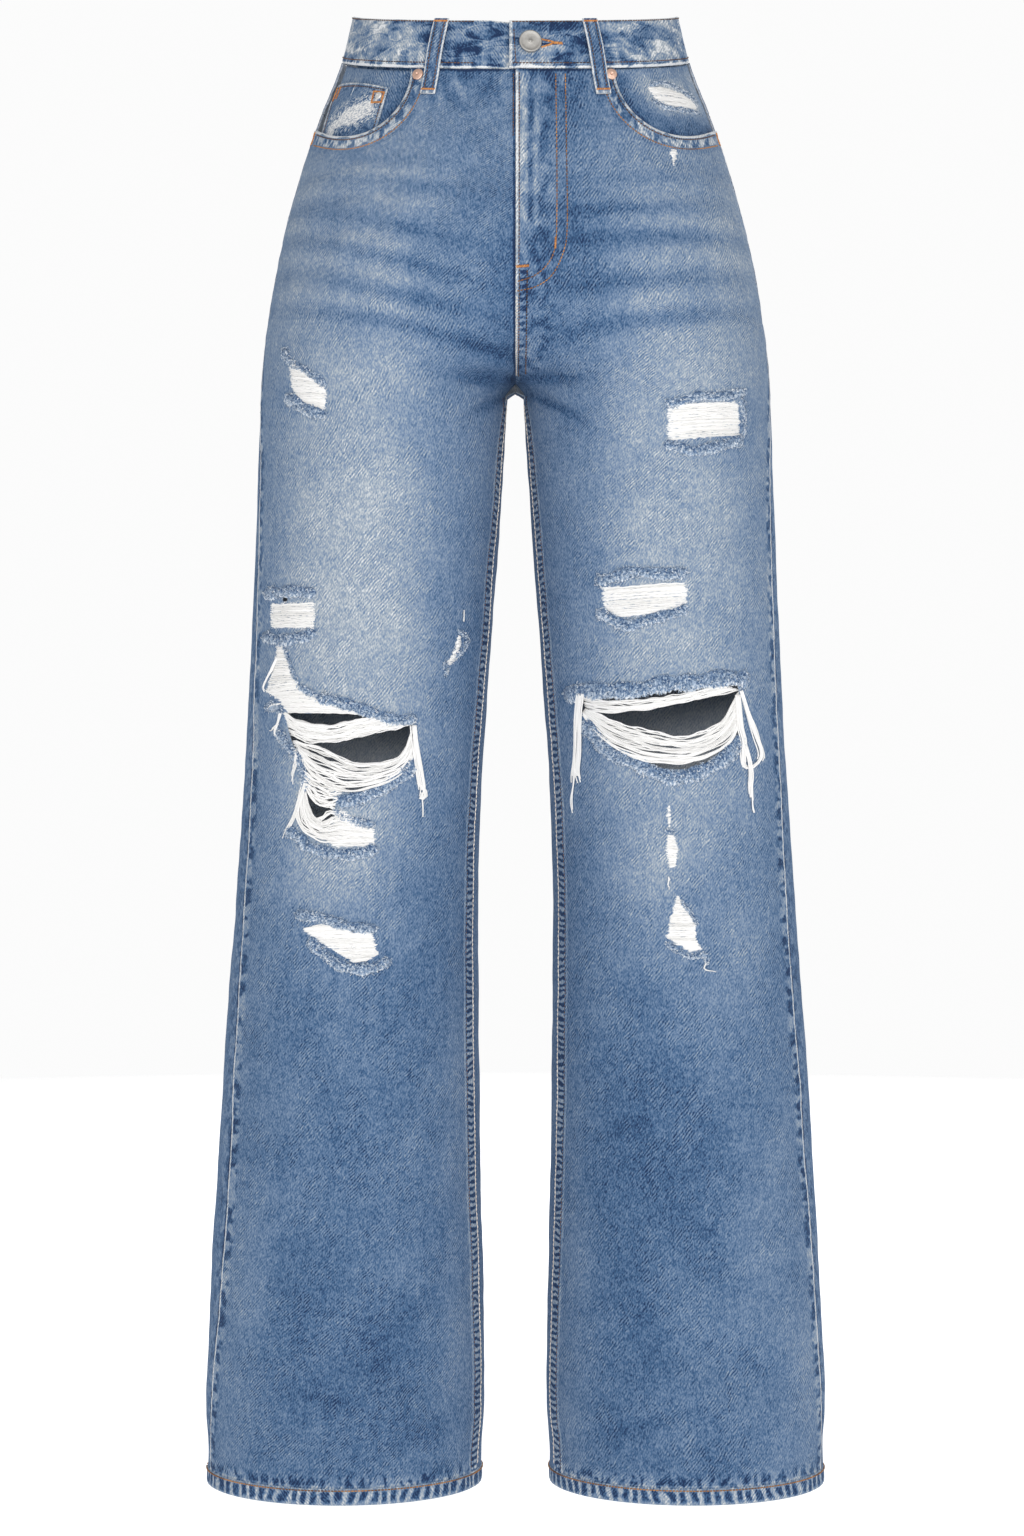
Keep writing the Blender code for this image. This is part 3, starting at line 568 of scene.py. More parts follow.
# Whiskers worn by sitting: pairs of a dark crease and the pale ridge below it, as amounts of wash.
WHISKERS = (
    (-98, -123, 50, 4.5, -9, 0.13), (-92, -134, 56, 5, -9, -0.14), (-85, -141, 62, 4.5, -9, 0.14),
    (-96, -153, 58, 6, -12, -0.17), (-96, -170, 66, 5, -15, 0.24), (-112, -180, 50, 6, -14, -0.2),
    (-92, -196, 68, 5, -15, 0.27), (-106, -205, 52, 6.5, -14, -0.2), (-88, -221, 66, 5.5, -13, 0.3),
    (-104, -229, 52, 6, -13, -0.16), (-112, -239, 48, 5, -10, 0.2), (-52, -250, 46, 5, -14, 0.24),
    (100, -137, 50, 4.5, 3, 0.14), (96, -149, 56, 7, 4, -0.15), (86, -161, 52, 4.5, 4, 0.26),
    (104, -170, 56, 5.5, 4, -0.17), (96, -181, 62, 5, 3, 0.24), (96, -196, 62, 8, 4, -0.14),
    (96, -213, 60, 5, 5, 0.18), (92, -226, 60, 6.5, 5, -0.17), (88, -241, 60, 5.5, 6, 0.26),
)  # fmt: skip

# Pale creases that run down from the waistband beside the belt loops, as amounts of wash.
PULLS = (
    (-37, -78, 2.3, 14, 21, -0.26), (-68, -86, 2.2, 12, 6, -0.24), (-52, -87, 2.2, 10, 12, -0.2),
    (-43, -70, 2.2, 9, 34, -0.22), (-30, -70, 8, 24, 10, 0.1), (50, -80, 2.4, 13, -16, -0.18),
    (66, -90, 2.3, 12, -8, -0.16), (42, -78, 7, 24, -6, 0.1),
)  # fmt: skip

# Where the wash has bleached the cloth (an amount over 0) or left it dark: x, z, half of the
# width, half of the height and the amount.
WASH = {
    "front": (
        (-118, -450, 62, 222, 0.66), (112, -445, 62, 222, 0.58), (-128, -625, 32, 60, 0.18),
        (-74, -610, 26, 60, -0.14), (108, -640, 22, 50, 0.08), (-128, -150, 74, 85, 0.26),
        (132, -150, 70, 85, 0.26), (-80, -115, 110, 38, 0.1), (90, -115, 110, 38, 0.1),
        (62, -190, 30, 70, -0.08), (0, -256, 52, 34, -0.04), (-22, -330, 26, 90, 0.18),
        (20, -300, 24, 90, 0.16), (32, -490, 14, 80, 0.1), (-34, -900, 20, 210, 0.16),
        (38, -960, 18, 140, 0.12), (190, -950, 34, 170, 0.12), (184, -420, 22, 300, 0.1),
        (-205, -920, 30, 200, 0.1), (-168, -195, 26, 90, 0.17), (164, -200, 26, 90, 0.16),
        (32, -200, 36, 46, -0.16), (34, -82, 26, 34, -0.16), (-2, -215, 16, 50, -0.12),
        (-116, -268, 58, 26, 0.1), (128, -268, 56, 30, 0.16), (-104, -698, 58, 50, -0.13),
        (-120, -990, 62, 62, -0.13), (78, -880, 26, 160, -0.11), (112, -830, 34, 70, -0.14),
        (150, -695, 30, 46, 0.13), (222, -980, 16, 110, 0.12), (-194, -400, 14, 110, 0.12),
        (190, -385, 14, 110, 0.09),
    ),
    "back": (
        (-105, -190, 70, 90, 0.45), (105, -190, 70, 90, 0.45), (-112, -420, 60, 190, 0.45),
        (112, -420, 60, 190, 0.45), (-118, -530, 60, 40, 0.15), (118, -530, 60, 40, 0.15),
    ),
}  # fmt: skip
WASH_BASE = 0.16


def wash_and_crease_shade(face, x, z):
    """How far the wash has bleached the cloth, from 0 to about 1, darkened along the creases partly as
    painted shade.
    """
    total = WASH_BASE
    for middle_x, middle_z, half_width, half_height, amount in WASH[face]:
        shape = np.abs((x - middle_x) / half_width) ** 3 + np.abs((z - middle_z) / half_height) ** 3
        total = total + amount * np.exp(-shape)
    if face == "front":
        whiskers = fold_depth(WHISKERS, x, z)
        total = total + 0.09 * ripple(x, z, 13, 12) * whiskers - fold_depth(PULLS, x, z) - whiskers
    creases = fold_depth(CREASES[face], x, z)
    # Darker along the fine creases by their depth: partly wash wear, partly painted shade in the troughs.
    return total - 0.13 * creases + 0.05 * ripple(x, z, 55, 4) + 0.03 * ripple(x, z, 21, 5)


# Rips worn down to the white weft: guide yarns from the top of each one to its foot.
WEBS = {
    "right": (
        (((-161.5, -264), (-158.5, -266.5)), ((-161.5, -273), (-146, -277)), ((-160.5, -283), (-135, -287)),
         ((-156, -292), (-135, -294)), ((-146, -298), (-135, -302))),
        (((-176.5, -438), (-143.7, -438.5)), ((-177, -447), (-144, -449)), ((-176, -455), (-144.5, -457))),
        (((-172.5, -465.5), (-169, -466)), ((-173, -475), (-165, -475)), ((-176, -487), (-160.5, -488)),
         ((-181, -501), (-156, -497)), ((-171, -507), (-141, -508)), ((-166, -513), (-122, -514)),
         ((-163, -516.5), (-108, -518))),
        (((-127, -586), (-124, -587)), ((-130, -597), (-101, -600)), ((-140, -604), (-101, -606)),
         ((-128, -613), (-101, -612))),
        (((-41.4, -461), (-39.3, -461)), ((-43, -469), (-39.3, -468)), ((-46, -475), (-40, -473)),
         ((-49.5, -482), (-45.5, -482))),
        (((-152, -671.5), (-138, -668)), ((-149, -674), (-101, -675)), ((-140, -680), (-100.5, -681)),
         ((-131, -686), (-99.5, -685)), ((-121, -692), (-98.5, -689.5)), ((-116, -695.5), (-106, -694))),
    ),
    "left": (
        (((110.2, -115.6), (116, -115)), ((111, -121), (114.5, -120)), ((112.4, -127), (113, -126.8))),
        (((107.8, -299), (159, -295)), ((107.8, -311), (160, -306)), ((107.9, -325), (160.7, -318))),
        (((61.5, -428), (121.5, -425)), ((62, -436), (122, -433)), ((64, -444.5), (121.2, -441)),
         ((76, -449), (92, -447))),
        (((109, -583), (109.8, -583)), ((108.2, -590), (110.9, -590)), ((109.2, -598), (110, -598))),
        (((108, -604), (113.6, -605)), ((107.5, -614), (115.8, -615)), ((109.5, -627), (114.4, -626))),
        (((115, -648), (116.5, -648)), ((113, -656), (121, -656.5)), ((109.5, -666), (128, -666)),
         ((108, -678), (129, -678)), ((118, -683), (131, -683.5)), ((124, -687.5), (133.5, -686))),
    ),
}  # fmt: skip

# Where the cut ends of the blue warp stand along a rip's edges: a band's width and middle line.
FRAYS = {
    "right": (
        (5.5, ((-168, -254), (-161, -266), (-147.5, -274.5), (-134, -285))),
        (8.5, ((-166, -292), (-159, -293), (-150, -300.5), (-134, -306))),
        (9, ((-183, -431), (-172, -430), (-160, -429.5), (-142.5, -432))),
        (9, ((-183, -459), (-175, -463.5), (-164, -464.5), (-153, -462.5), (-142.5, -459.5))),
        (3, ((-166.5, -470), (-161, -484), (-157, -495))),
        (5, ((-156, -497), (-149, -501.5), (-140, -505))),
        (9, ((-142, -506), (-121, -510.5), (-101, -517.5), (-86, -522), (-71, -521))),
        (7, ((-181, -514), (-173, -511), (-168, -518))),
        (7, ((-172, -528), (-165, -539), (-158, -547), (-151, -561), (-150, -573))),
        (10, ((-128, -581), (-109, -577), (-91, -568), (-80, -561), (-71, -551))),
        (6, ((-130, -587), (-118, -593), (-101, -597))),
        (9, ((-165, -600), (-155, -606), (-147, -613), (-125, -618), (-109, -617), (-99, -613))),
        (3.5, ((-51, -479.5), (-50, -485), (-50.5, -491))),
        (4, ((-44, -477), (-39.5, -472), (-35, -463), (-42, -457))),
        (7.5, ((-158, -661), (-147, -662.5), (-138, -663), (-121, -669), (-98.5, -671))),
        (8.5, ((-148, -679), (-139, -687), (-126, -696.5), (-107, -700), (-89, -694))),
    ),
    "facing": (
        (3.4, ((96, -67), (106, -62.5), (118, -64), (133, -69))),
        (4, ((98, -78), (110, -82), (124, -80.5), (135, -79))),
    ),
    "left": (
        (6.5, ((105, -299), (116, -297), (130, -292.5), (145, -292), (165, -286))),
        (4.5, ((162, -291), (163.5, -303), (162, -319))),
        (8, ((105, -327), (116, -329), (126, -331.5), (142, -328), (163, -321))),
        (9, ((57, -423.5), (70, -420.5), (84, -417), (104, -418.5), (123.5, -417.5))),
        (8.5, ((58, -443.5), (66, -448.5), (80, -455), (92, -451.5), (104, -448.5), (123, -443))),
        (13, ((35, -504.5), (50, -500.5), (62, -501), (88.7, -500.5), (104, -496.5), (130, -495),
         (148, -492), (168, -492.5))),
        (11, ((48, -523), (58, -534), (67, -545), (80, -550), (91, -556), (104, -561), (114, -563.5),
         (126, -561), (138, -556), (151, -548), (164, -533))),
        (3, ((106, -601), (114, -602.5))),
        (3, ((118, -651), (124, -659), (130, -668))),
        (4, ((107, -681), (114, -685.5), (124, -691), (135, -690), (137, -697))),
    ),
}  # fmt: skip


def fray_shadow_mask(places, side):
    """1 on the cloth under the frays, fading out beside them; the front panel is darkened there as painted
    shade.
    """
    total = np.zeros(places.shape[:-1])
    for width, curve in FRAYS[side]:
        for x, z in smooth_curve(curve, 2.5):
            gap = np.hypot(places[..., 0] - x, places[..., 1] - z)
            total = np.maximum(total, np.clip(1.3 - gap / (width * 0.75), 0, 1))
    return total


# Holes torn right through, as closed outlines.
HOLES = {
    "right": (
        ((-164, -515.5), (-150, -517.5), (-125, -516), (-101, -519), (-74, -525), (-72.5, -532),
         (-73, -550), (-90, -567), (-110, -573.5), (-132, -571), (-148, -563), (-157, -546),
         (-163, -531)),
        ((-152, -568), (-136, -574), (-129, -582), (-131, -595), (-140, -603), (-151, -600),
         (-156, -590)),
        ((-170, -434.2), (-163, -433.6), (-152, -434.4), (-151, -436.6), (-160, -436.2), (-169, -436.8)),
    ),
    "left": (
        ((46, -506), (60, -504), (88.7, -503), (117, -499), (150, -496), (159.5, -498), (161.5, -528),
         (153, -543), (131, -555.5), (103, -557), (81.7, -550), (60.6, -536.5), (48, -517)),
    ),
}  # fmt: skip

Mouth = namedtuple("Mouth", "x half_width")
MOUTHS = {-1: Mouth(-116.0, 41.5), 1: Mouth(114.5, 44.0)}
MOUTH_Z, MOUTH_HIGH = -56.0, 47.4


def mouth_outline(hand, grow=0.0):
    """The pocket mouth's edge, an oval, or a line outside it."""
    angle = np.linspace(0, 2 * math.pi, 90, endpoint=False)
    mouth = MOUTHS[hand]
    x = mouth.x + hand * (mouth.half_width + grow) * np.cos(angle)
    return np.stack((x, MOUTH_Z + (MOUTH_HIGH + grow) * np.sin(angle)), -1)


def web_outline(guides):
    """The closed edge of a worn patch, round the ends of its guide yarns."""
    ends = [guide[-1] for guide in guides]
    starts = [guide[0] for guide in guides]
    return np.array(list(guides[0]) + ends[1:-1] + list(guides[-1])[::-1] + starts[1:-1][::-1], float)


def dense_ends(count, edge_count, edge_share):
    """Shares from 0 to 1, closer together near both ends."""
    edge = np.linspace(0, edge_share, edge_count)
    middle = np.linspace(edge_share, 1 - edge_share, count - 2 * edge_count + 2)
    return np.concatenate((edge[:-1], middle, 1 - edge[::-1][1:]))


def worn_through(bare):
    """1 where the warp is gone and 0 on whole cloth, from the distance to a worn patch's edge."""
    return np.clip((0.8 - bare) / 1.6, 0, 1)


Grid = namedtuple("Grid", "points normals from_inner from_side drop")


def seam_relief(face, from_inner, from_side, drop, seed):
    """A felled seam, the inseam or the seat's, stands up in ropes, and the side seam puckers."""
    below = np.clip((drop - FORK) / 20, 0, 1) if face == "front" else np.clip((FORK - drop) / 20, 0, 1)
    rope = 0.5 + 0.5 * np.sin(drop * 2 * math.pi / 7.3 + 2.2 * np.sin(drop / 23 + seed) + from_inner * 0.35)
    felled = np.clip((13.5 - from_inner) / 1.4, 0, 1) * np.clip(from_inner / 0.7, 0, 1)
    inseam = below * felled * (0.45 + 0.4 * rope)
    pucker = np.sin(drop * 2 * math.pi / 11 + 3 * np.sin(drop / 41 + seed * 2))
    return inseam + 0.35 * pucker * bell(from_side, 5, 4) + 0.5 * bell(from_side, 0, 1.6)


def panel_grid(face, hand, base, drop, seed):
    """A panel's own points: the worn form with the fine creases, waves and seams added."""
    turned = hand * (1 if face == "front" else -1) < 0
    normals = outward(base, turned)
    arcs = arc_lengths(base)
    drops = np.broadcast_to(drop, arcs.shape)
    x, z = base[..., 0], base[..., 2]
    lift = -fold_depth(CREASES[face], x, z)
    lift = lift + 0.35 * ripple(x, z, 70, seed) + 0.16 * ripple(x, z, 26, seed + 1)
    lift = lift + seam_relief(face, arcs, arcs[:, -1:] - arcs, drops, seed)
    points = base + normals * lift[..., None]
    joined = drops[:, 0] < FORK + 1
    points[joined, 0, 0] = hand * 0.02
    return Grid(points, outward(points, turned), arcs, arcs[:, -1:] - arcs, drops)


WHOLE = 12.0  # how far cloth with no rip near it counts as from one


def denim_fields(face, hand, grid):
    """What the denim finish reads at each point: the weave's run, the wash and the seams, in metres."""
    x, z = grid.points[..., 0], grid.points[..., 2]
    return {
        "weave_x": -hand * grid.from_side * MM,
        "weave_z": -grid.drop * MM,
        "wash": wash_and_crease_shade(face, x, z),
        "from_inner": grid.from_inner * MM,
        "from_side": grid.from_side * MM,
        "bare": WHOLE,
    }


# Washed denim. Its colour runs from the indigo of the unworn cloth to the near white of bare weft.
INDIGO = (
    (0.0, srgb(28, 48, 82)),
    (0.2, srgb(60, 91, 127)),
    (0.5, srgb(113, 133, 159)),
    (0.65, srgb(141, 154, 169)),
    (0.8, srgb(170, 177, 184)),
    (1.0, srgb(218, 220, 222)),
)
WEFT_SHADE, WEFT_WHITE = srgb(150, 160, 174), srgb(232, 231, 229)
REVERSE = ((0, srgb(150, 165, 186)), (0.5, srgb(196, 204, 214)), (1, srgb(230, 233, 236)))
DENIM_SHEEN = {"Sheen Weight": 0.12, "Sheen Roughness": 0.5, "Sheen Tint": srgb(150, 184, 226)}


def denim_weave():
    """Height and shade of the twill, the slubs and the grain of a washed denim, each round 0."""
    u, v = Wire.field("weave_x"), Wire.field("weave_z")
    wander = Wire.noise(9, detail=1.5) * 0.0032
    twill = ((u * 0.75 - v * 0.66 + wander) * (2 * math.pi / 0.0019)).sine()
    patchy = Wire.noise(28).rise(0.36, 0.6) * 0.7 + 0.3
    broken = Wire.noise(3.4, (1.3, 1, 0.7), turn=-40).rise(0.36, 0.6)
    strokes = twill * patchy * broken
    worms = Wire.noise(1.25, (1.3, 1, 0.6), turn=-38, detail=1.5, curl=0.3).rise(0.25, 0.75) - 0.5
    streaks = Wire.noise(6, (1, 1, 0.3), detail=2.0) - 0.5
    fluff = Wire.noise(4.5, detail=1.5, curl=0.6).rise(0.35, 0.65) - 0.5
    cloud = Wire.noise(34, detail=2.0) - 0.5
    shade = strokes * 0.3 + worms * 0.54 + fluff * 0.12 + cloud * 0.3 + streaks * 0.25
    return shade, strokes * 0.6 + worms


def denim_paint(name, wear_and_shade, torn_scale=(0.3, 1, 1.3), torn_turn=0):
    """The denim finish; the piece's wear function adds its own wear, and on some pieces painted shade, to its
    wash level, and `torn` shapes bare edges.
    """
    material = Wire.start(name)
    shade, height = denim_weave()
    level = wear_and_shade(Wire.field("wash") + shade) * 0.6 + 0.2
    colour = level.ramp(*INDIGO)
    ragged = Wire.noise(2.2, torn_scale, turn=torn_turn, detail=2.0) - 0.5
    bare = Wire.field("bare") + ragged * 7
    weft = Wire.noise(1.6, (0.4, 1, 1.5), turn=torn_turn, detail=2.0).rise(0.3, 0.6)
    colour = bare.rise(0.5, -0.5).tint(colour, weft.tint(WEFT_SHADE, WEFT_WHITE))
    Wire.finish(
        {"Roughness": 0.88, "Specular IOR Level": 0.2, **DENIM_SHEEN},
        Base_Color=Wire.field("inside").tint(colour, (shade + 0.55).ramp(*REVERSE)),
        Normal=Wire.bump(height, 0.22),
    )
    return material


def front_wear_and_shade(wash):
    """Dark and pale ropes on the felled inseam, a worn fly edge with painted shadow beside it on the right
    panel, a pale line at the side seam, and painted shadow under the waistband and under the frays.
    """
    from_inner, from_side = Wire.field("from_inner"), Wire.field("from_side")
    height, fold, mouth = Wire.field("weave_z"), Wire.field("fold"), Wire.field("mouth")
    below = height.rise(-0.284, -0.296)
    ladder = (height * (2 * math.pi / 0.0048) + Wire.noise(11) * 9).sine()
    ropes = (ladder + (Wire.noise(3.4, detail=1.5) - 0.5) * 3).rise(-0.7, 0.7)
    felled = from_inner.strip(0.0022, 0.0030, 0.0112, 0.0126) * below
    outside_row = from_inner.strip(0.0128, 0.0138, 0.0144, 0.0158) * below

    over, under = fold.rise(0, 1), fold.rise(0, -1)
    fly_blots = Wire.noise(7.5, (1, 1, 0.55), detail=1.5).rise(0.38, 0.62) - 0.55
    # On the left panel the fly's fold is worn pale; on the right panel beside it the cloth is darkened as
    # painted shadow of the lapping fly.
    fold_wear_and_shadow = from_inner.rise(0.0022, 0.0014) * over - from_inner.rise(0.0024, 0.0012) * under * 0.9
    fly = from_inner.strip(0.0026, 0.0036, 0.024, 0.032) * over
    fold_wear_and_shadow = fold_wear_and_shadow + fly * fly_blots * 0.65
    strip = from_inner.strip(0.0024, 0.0032, 0.0078, 0.0088) * over
    wash = wash + strip * height.rise(-0.196, -0.202) * (ropes * 0.55 - 0.42)
    wash = wash + felled * (ropes - 0.56) * 1.1 + outside_row * 0.35 + fold_wear_and_shadow * 0.56

    ticks = Wire.noise(4.4, (1, 1, 0.5), detail=1.5).rise(0.4, 0.6)
    between = mouth.strip(0.0028, 0.0038, 0.0082, 0.0094)
    beyond = mouth.strip(0.0105, 0.0115, 0.0120, 0.0150)
    wash = wash + mouth.rise(0.0020, 0.0012) + between * (0.55 - ticks * 0.95) - beyond * 0.15

    streaks = Wire.noise(6.5, (1, 1, 0.22)).rise(0.38, 0.62) - 0.5
    # Worn streaks below the waistband, and a dark line just under its lower edge as painted shadow.
    wash = wash + height.rise(-0.075, -0.045) * streaks * 0.3 - height.rise(-0.0368, -0.0352) * 0.5
    hem_ticks = Wire.noise(4.6, (1, 1, 0.5), turn=25, detail=1.5).rise(0.4, 0.58)
    wash = wash + height.rise(-1.0590, -1.0680) * (hem_ticks - 0.62) * 0.75
    wash = wash + height.rise(-1.0682, -1.0696) * 0.3

    puckers = Wire.noise(6.5, (0.5, 0.5, 1)).rise(0.42, 0.6) - 0.62
    beside = from_side.strip(0.0012, 0.0020, 0.006, 0.013)
    wash = wash + from_side.rise(0.0017, 0.0009) + beside * puckers * 0.85
    # Painted shadow: the cloth under and beside the frays is darkened.
    return wash - Wire.field("frayed") * 0.1


FRONT_DENIM = denim_paint("denim_front", front_wear_and_shade)

FRONT_DROPS = np.linspace(PANEL_TOP, PANEL_FOOT, 372)[:, None]
FRONT_SHARES = dense_ends(92, 10, 0.045)
FLY_STEP, FLY_LOW = 1.1, 268.0


def fly_relief(grid):
    """The fly: its edge lies over the right panel, and the zip shows as two ridges under it."""
    x, drop = grid.points[..., 0], grid.drop
    above = np.clip((FLY_LOW - drop) / 6, 0, 1)
    over_zip = np.clip((178 - drop) / 14, 0, 1) * np.clip((drop - 40) / 20, 0, 1)
    wobble = 0.6 * np.sin(drop / 17)
    ridges = bell(x, 6.2 + wobble, 2.2) + 0.9 * bell(x, 14.2 - wobble, 2.0) - 0.7 * bell(x, 10.2, 1.8)
    return FLY_STEP * bell(x, 0, 9) * above + ridges * over_zip


front_grids, front_panels = {}, {}
for hand, side in SIDES.items():
    start, end = inseam_turn(FRONT_DROPS), side_turn(hand, FRONT_DROPS)
    base = bare_skin("front", hand, FRONT_DROPS, start + (end - start) * FRONT_SHARES)
    grid = panel_grid("front", hand, base, FRONT_DROPS, 10 + hand)
    fields = denim_fields("front", hand, grid)
    places = grid.points[..., [0, 2]]
    bare = np.full(places.shape[:-1], WHOLE)
    for guides in WEBS[side]:
        bare = np.minimum(bare, outline_distance(places, web_outline(guides))[0])
    relief = -0.55 * worn_through(bare)
    if side == "left":
        fly = fly_relief(grid)
        relief = relief + fly
        fields["wash"] = fields["wash"] + 0.42 * np.clip(fly, -0.7, 1)
    mouth, _ = outline_distance(places, mouth_outline(hand))
    relief = relief + 0.5 * bell(mouth, 0, 2.2) - 0.25 * bell(mouth, 7, 4)
    points = grid.points + grid.normals * relief[..., None]
    grid = grid._replace(points=points, normals=outward(points, side == "right"))
    front_grids[side] = grid
    kept = np.ones(np.array(points.shape[:2]) - 1, bool)
    cut = points.copy()
    cut_out(cut, grid.normals, mouth_outline(hand), kept)
    for hole in HOLES[side]:
        cut_out(cut, grid.normals, smooth_curve(hole, 2.5, closed=True), kept)
    fields["bare"] = bare
    fields["mouth"] = np.clip(mouth, -5, 40) * MM
    # Where painted shadow falls on the cloth under the frays.
    fields["frayed"] = fray_shadow_mask(places, side)
    fields["fold"] = hand * np.clip((FORK - grid.drop) / 10, 0, 1)
    front_panels[side] = cloth(
        "front_panel_" + side, cut, grid.normals, FRONT_DENIM, kept=kept, turned=side == "right", **fields
    )


# ---------------------------------------------------------------- back panels and yokes
# The back of each leg is one piece of the same denim below a slanting yoke, and the two are sewn
# with a felled seam. Both reach round to the front seams, so a narrow strip shows from in front.
YOKE_SIDE, YOKE_CENTRE = 72.0, 104.0
LEVEL_DROP = 200.0  # below this the panel's rows run level
BACK_SHARES = dense_ends(60, 9, 0.06)


def yoke_edge(place):
    """The drop of the yoke seam, from the seat seam (0) to the side of the body (2)."""
    return YOKE_CENTRE + (YOKE_SIDE - YOKE_CENTRE) * np.clip(place, 0, 2) / 2


def back_place(hand, level, share):
    """Where a column stands: 0 at the inner leg's edge, 2 at the outer one, and more round the front."""
    first, last = -inseam_turn(level), 4 - side_turn(hand, level)
    return first + (last - first) * share


def round_back(hand, drop, place):
    """Points of the back's cloth, which reaches round onto the front at both of its seams."""
    turn = np.where(place < 0, -place, np.where(place > 2, 4 - place, place))
    in_front = ((place < 0) | (place > 2))[..., None]
    return np.where(in_front, bare_skin("front", hand, drop, turn), bare_skin("back", hand, drop, turn))


def back_wear_and_shade(wash):
    """The seat seam and the yoke seam are roped, and the strip beside the front seam is darkened as painted
    shade.
    """
    # Painted shade on the back panel's narrow strip beside the front seam.
    beside = Wire.field("from_side").rise(0.003, 0.0005)
    ropes = Wire.noise(7).rise(0.38, 0.62)
    strip = Wire.field("from_side").rise(0.017, 0.011) * (ropes - 0.5)
    return wash - beside * 0.45 + strip * 0.4 + Wire.field("felled") * (ropes - 0.45) * 0.6


BACK_DENIM = denim_paint("denim_back", back_wear_and_shade)
YOKE_LEVEL = 60.0  # where a yoke's columns are spaced out
FELL_WIDTH, FELL_EDGE = 10, 1.5


def back_piece(node, hand, drop, place, seed):
    """A back panel or a yoke, with its felled seams marked along the seat and below the yoke."""
    grid = panel_grid("back", hand, round_back(hand, drop, place), drop, seed)
    seat = np.clip((FELL_WIDTH - grid.from_inner) / FELL_EDGE, 0, 1) * np.clip((FORK - drop) / 8, 0, 1)
    below = drop - yoke_edge(place)
    below_yoke = np.clip((FELL_WIDTH - below) / FELL_EDGE, 0, 1) * (below > SEAM_GAP / 2)
    fields = denim_fields("back", hand, grid)
    fields["felled"] = np.maximum(seat, below_yoke)
    return grid, cloth(node, grid.points, grid.normals, BACK_DENIM, turned=hand > 0, **fields)


back_grids, yoke_grids = {}, {}
for hand, side in SIDES.items():
    level = np.linspace(YOKE_CENTRE, PANEL_FOOT, 300)[:, None]
    place = back_place(hand, level, BACK_SHARES)
    lifted = 1 - np.clip((level - YOKE_CENTRE) / (LEVEL_DROP - YOKE_CENTRE), 0, 1)
    drop = np.minimum(level + SEAM_GAP + (yoke_edge(place) - YOKE_CENTRE) * lifted, PANEL_FOOT)
    back_grids[side], panel = back_piece("back_panel_" + side, hand, drop, place, 20 + hand)

    level = np.linspace(0, 1, 24)[:, None]
    place = back_place(hand, np.full((24, 1), YOKE_LEVEL), BACK_SHARES)
    drop = PANEL_TOP + (yoke_edge(place) - PANEL_TOP) * level
    yoke_grids[side], yoke = back_piece("back_yoke_" + side, hand, drop, place, 30 + hand)
    "back_yoke_" + side

# ---------------------------------------------------------------- waistband
# One folded strip, stitched along both edges. Its left end laps over the right one at the centre
# front, where the buttonhole is worked in orange thread. The wash has crushed it into blotches.
BAND_WALL, BAND_PROUD = 2.4, 0.6
BAND_UNDER = -(BAND_WALL + 1.0 - BAND_PROUD)
LAP_END, TUCK_END, LAP_RAMP = -4.5, 27.0, 16.0
BUTTON_X, BUTTON_DROP = 10.2, 17.0
LOOP_PLACES = {
    "front_right": ("front", -52, -62),
    "front_left": ("front", 52, 62),
    "back_right": ("back", -84, -91),
    "back_left": ("back", 84, 91),
    "back_centre": ("back", 0, 0),
}


def folded_edge(height, wall, rows):
    """A folded strip's closed section as (distance down it, distance out): up its face and round."""
    bend = wall / 2
    angles = np.radians((30, 90, 150))
    top = [(bend * (1 - math.sin(a)), bend * (math.cos(a) - 1)) for a in angles]
    low = [(height - down, out) for down, out in top[::-1]]
    front = [(height - bend - (height - 2 * bend) * k / rows, 0.0) for k in range(rows + 1)]
    back = [(bend + (height - 2 * bend) * k / 4, -wall) for k in range(5)]
    return np.array(front + top + back + low)


def swell_between(down, height):
    """0 at a strip's two folds and 1 in its middle."""
    return np.sin(math.pi * np.clip(down / height, 0, 1)) ** 0.5


def loft(node, rings, material, closed=False, turned=False, **fields):
    """A node's cloth through closed sections of points, with flat ends unless it is closed."""
    count, around = rings.shape[:2]
    index = np.arange(count * around).reshape(count, around)
    quads = squares(np.concatenate((index, index[:1])) if closed else index, ring=True)
    if not closed:
        ends = []
        for k in range(around // 2 - 1):
            corners = [k, k + 1, around - 2 - k, around - 1 - k]
            ends += [index[0, corners], index[-1, corners[::-1]]]
        quads = np.concatenate((quads, np.array(ends)))
    if turned:
        quads = quads[:, ::-1]
    flat = {key: np.broadcast_to(value, (count, around)) for key, value in fields.items()}
    return cover(solid(node + "_cloth", rings.reshape(-1, 3), quads, material, **flat), node)


def band_columns():
    """The strip's columns from its tucked end round the back to its lap: face, place and out."""
    side = float(along(BODY, SIDE, BAND_HEIGHT / 2))
    columns = [("front", x, BAND_UNDER) for x in np.linspace(TUCK_END, LAP_END, 10)]
    for x in np.linspace(LAP_END, LAP_END - LAP_RAMP, 8)[1:]:
        share = (LAP_END - x) / LAP_RAMP
        columns.append(("front", x, BAND_UNDER + (BAND_PROUD - BAND_UNDER) * share**2 * (3 - 2 * share)))
    start, full = math.asin((LAP_RAMP - LAP_END) / side), math.pi / 2 - 0.012
    for angle in np.linspace(start, full, 46)[1:]:
        columns.append(("front", -side * math.sin(angle), BAND_PROUD))
    for angle in np.linspace(-full, full, 110):
        columns.append(("back", side * math.sin(angle), BAND_PROUD))
    start = math.asin(LAP_END / side)
    for angle in np.linspace(full, start, 60):
        columns.append(("front", side * math.sin(angle), BAND_PROUD))
    return columns, side


def band_point(face, x, drop, out, side):
    """A point of the waistband; x is its place at the band's middle height."""
    spread_to = x * (1 + (x / side) ** 2 * (along(BODY, SIDE, drop) / side - 1))
    return skin_x(face, spread_to, drop, out)


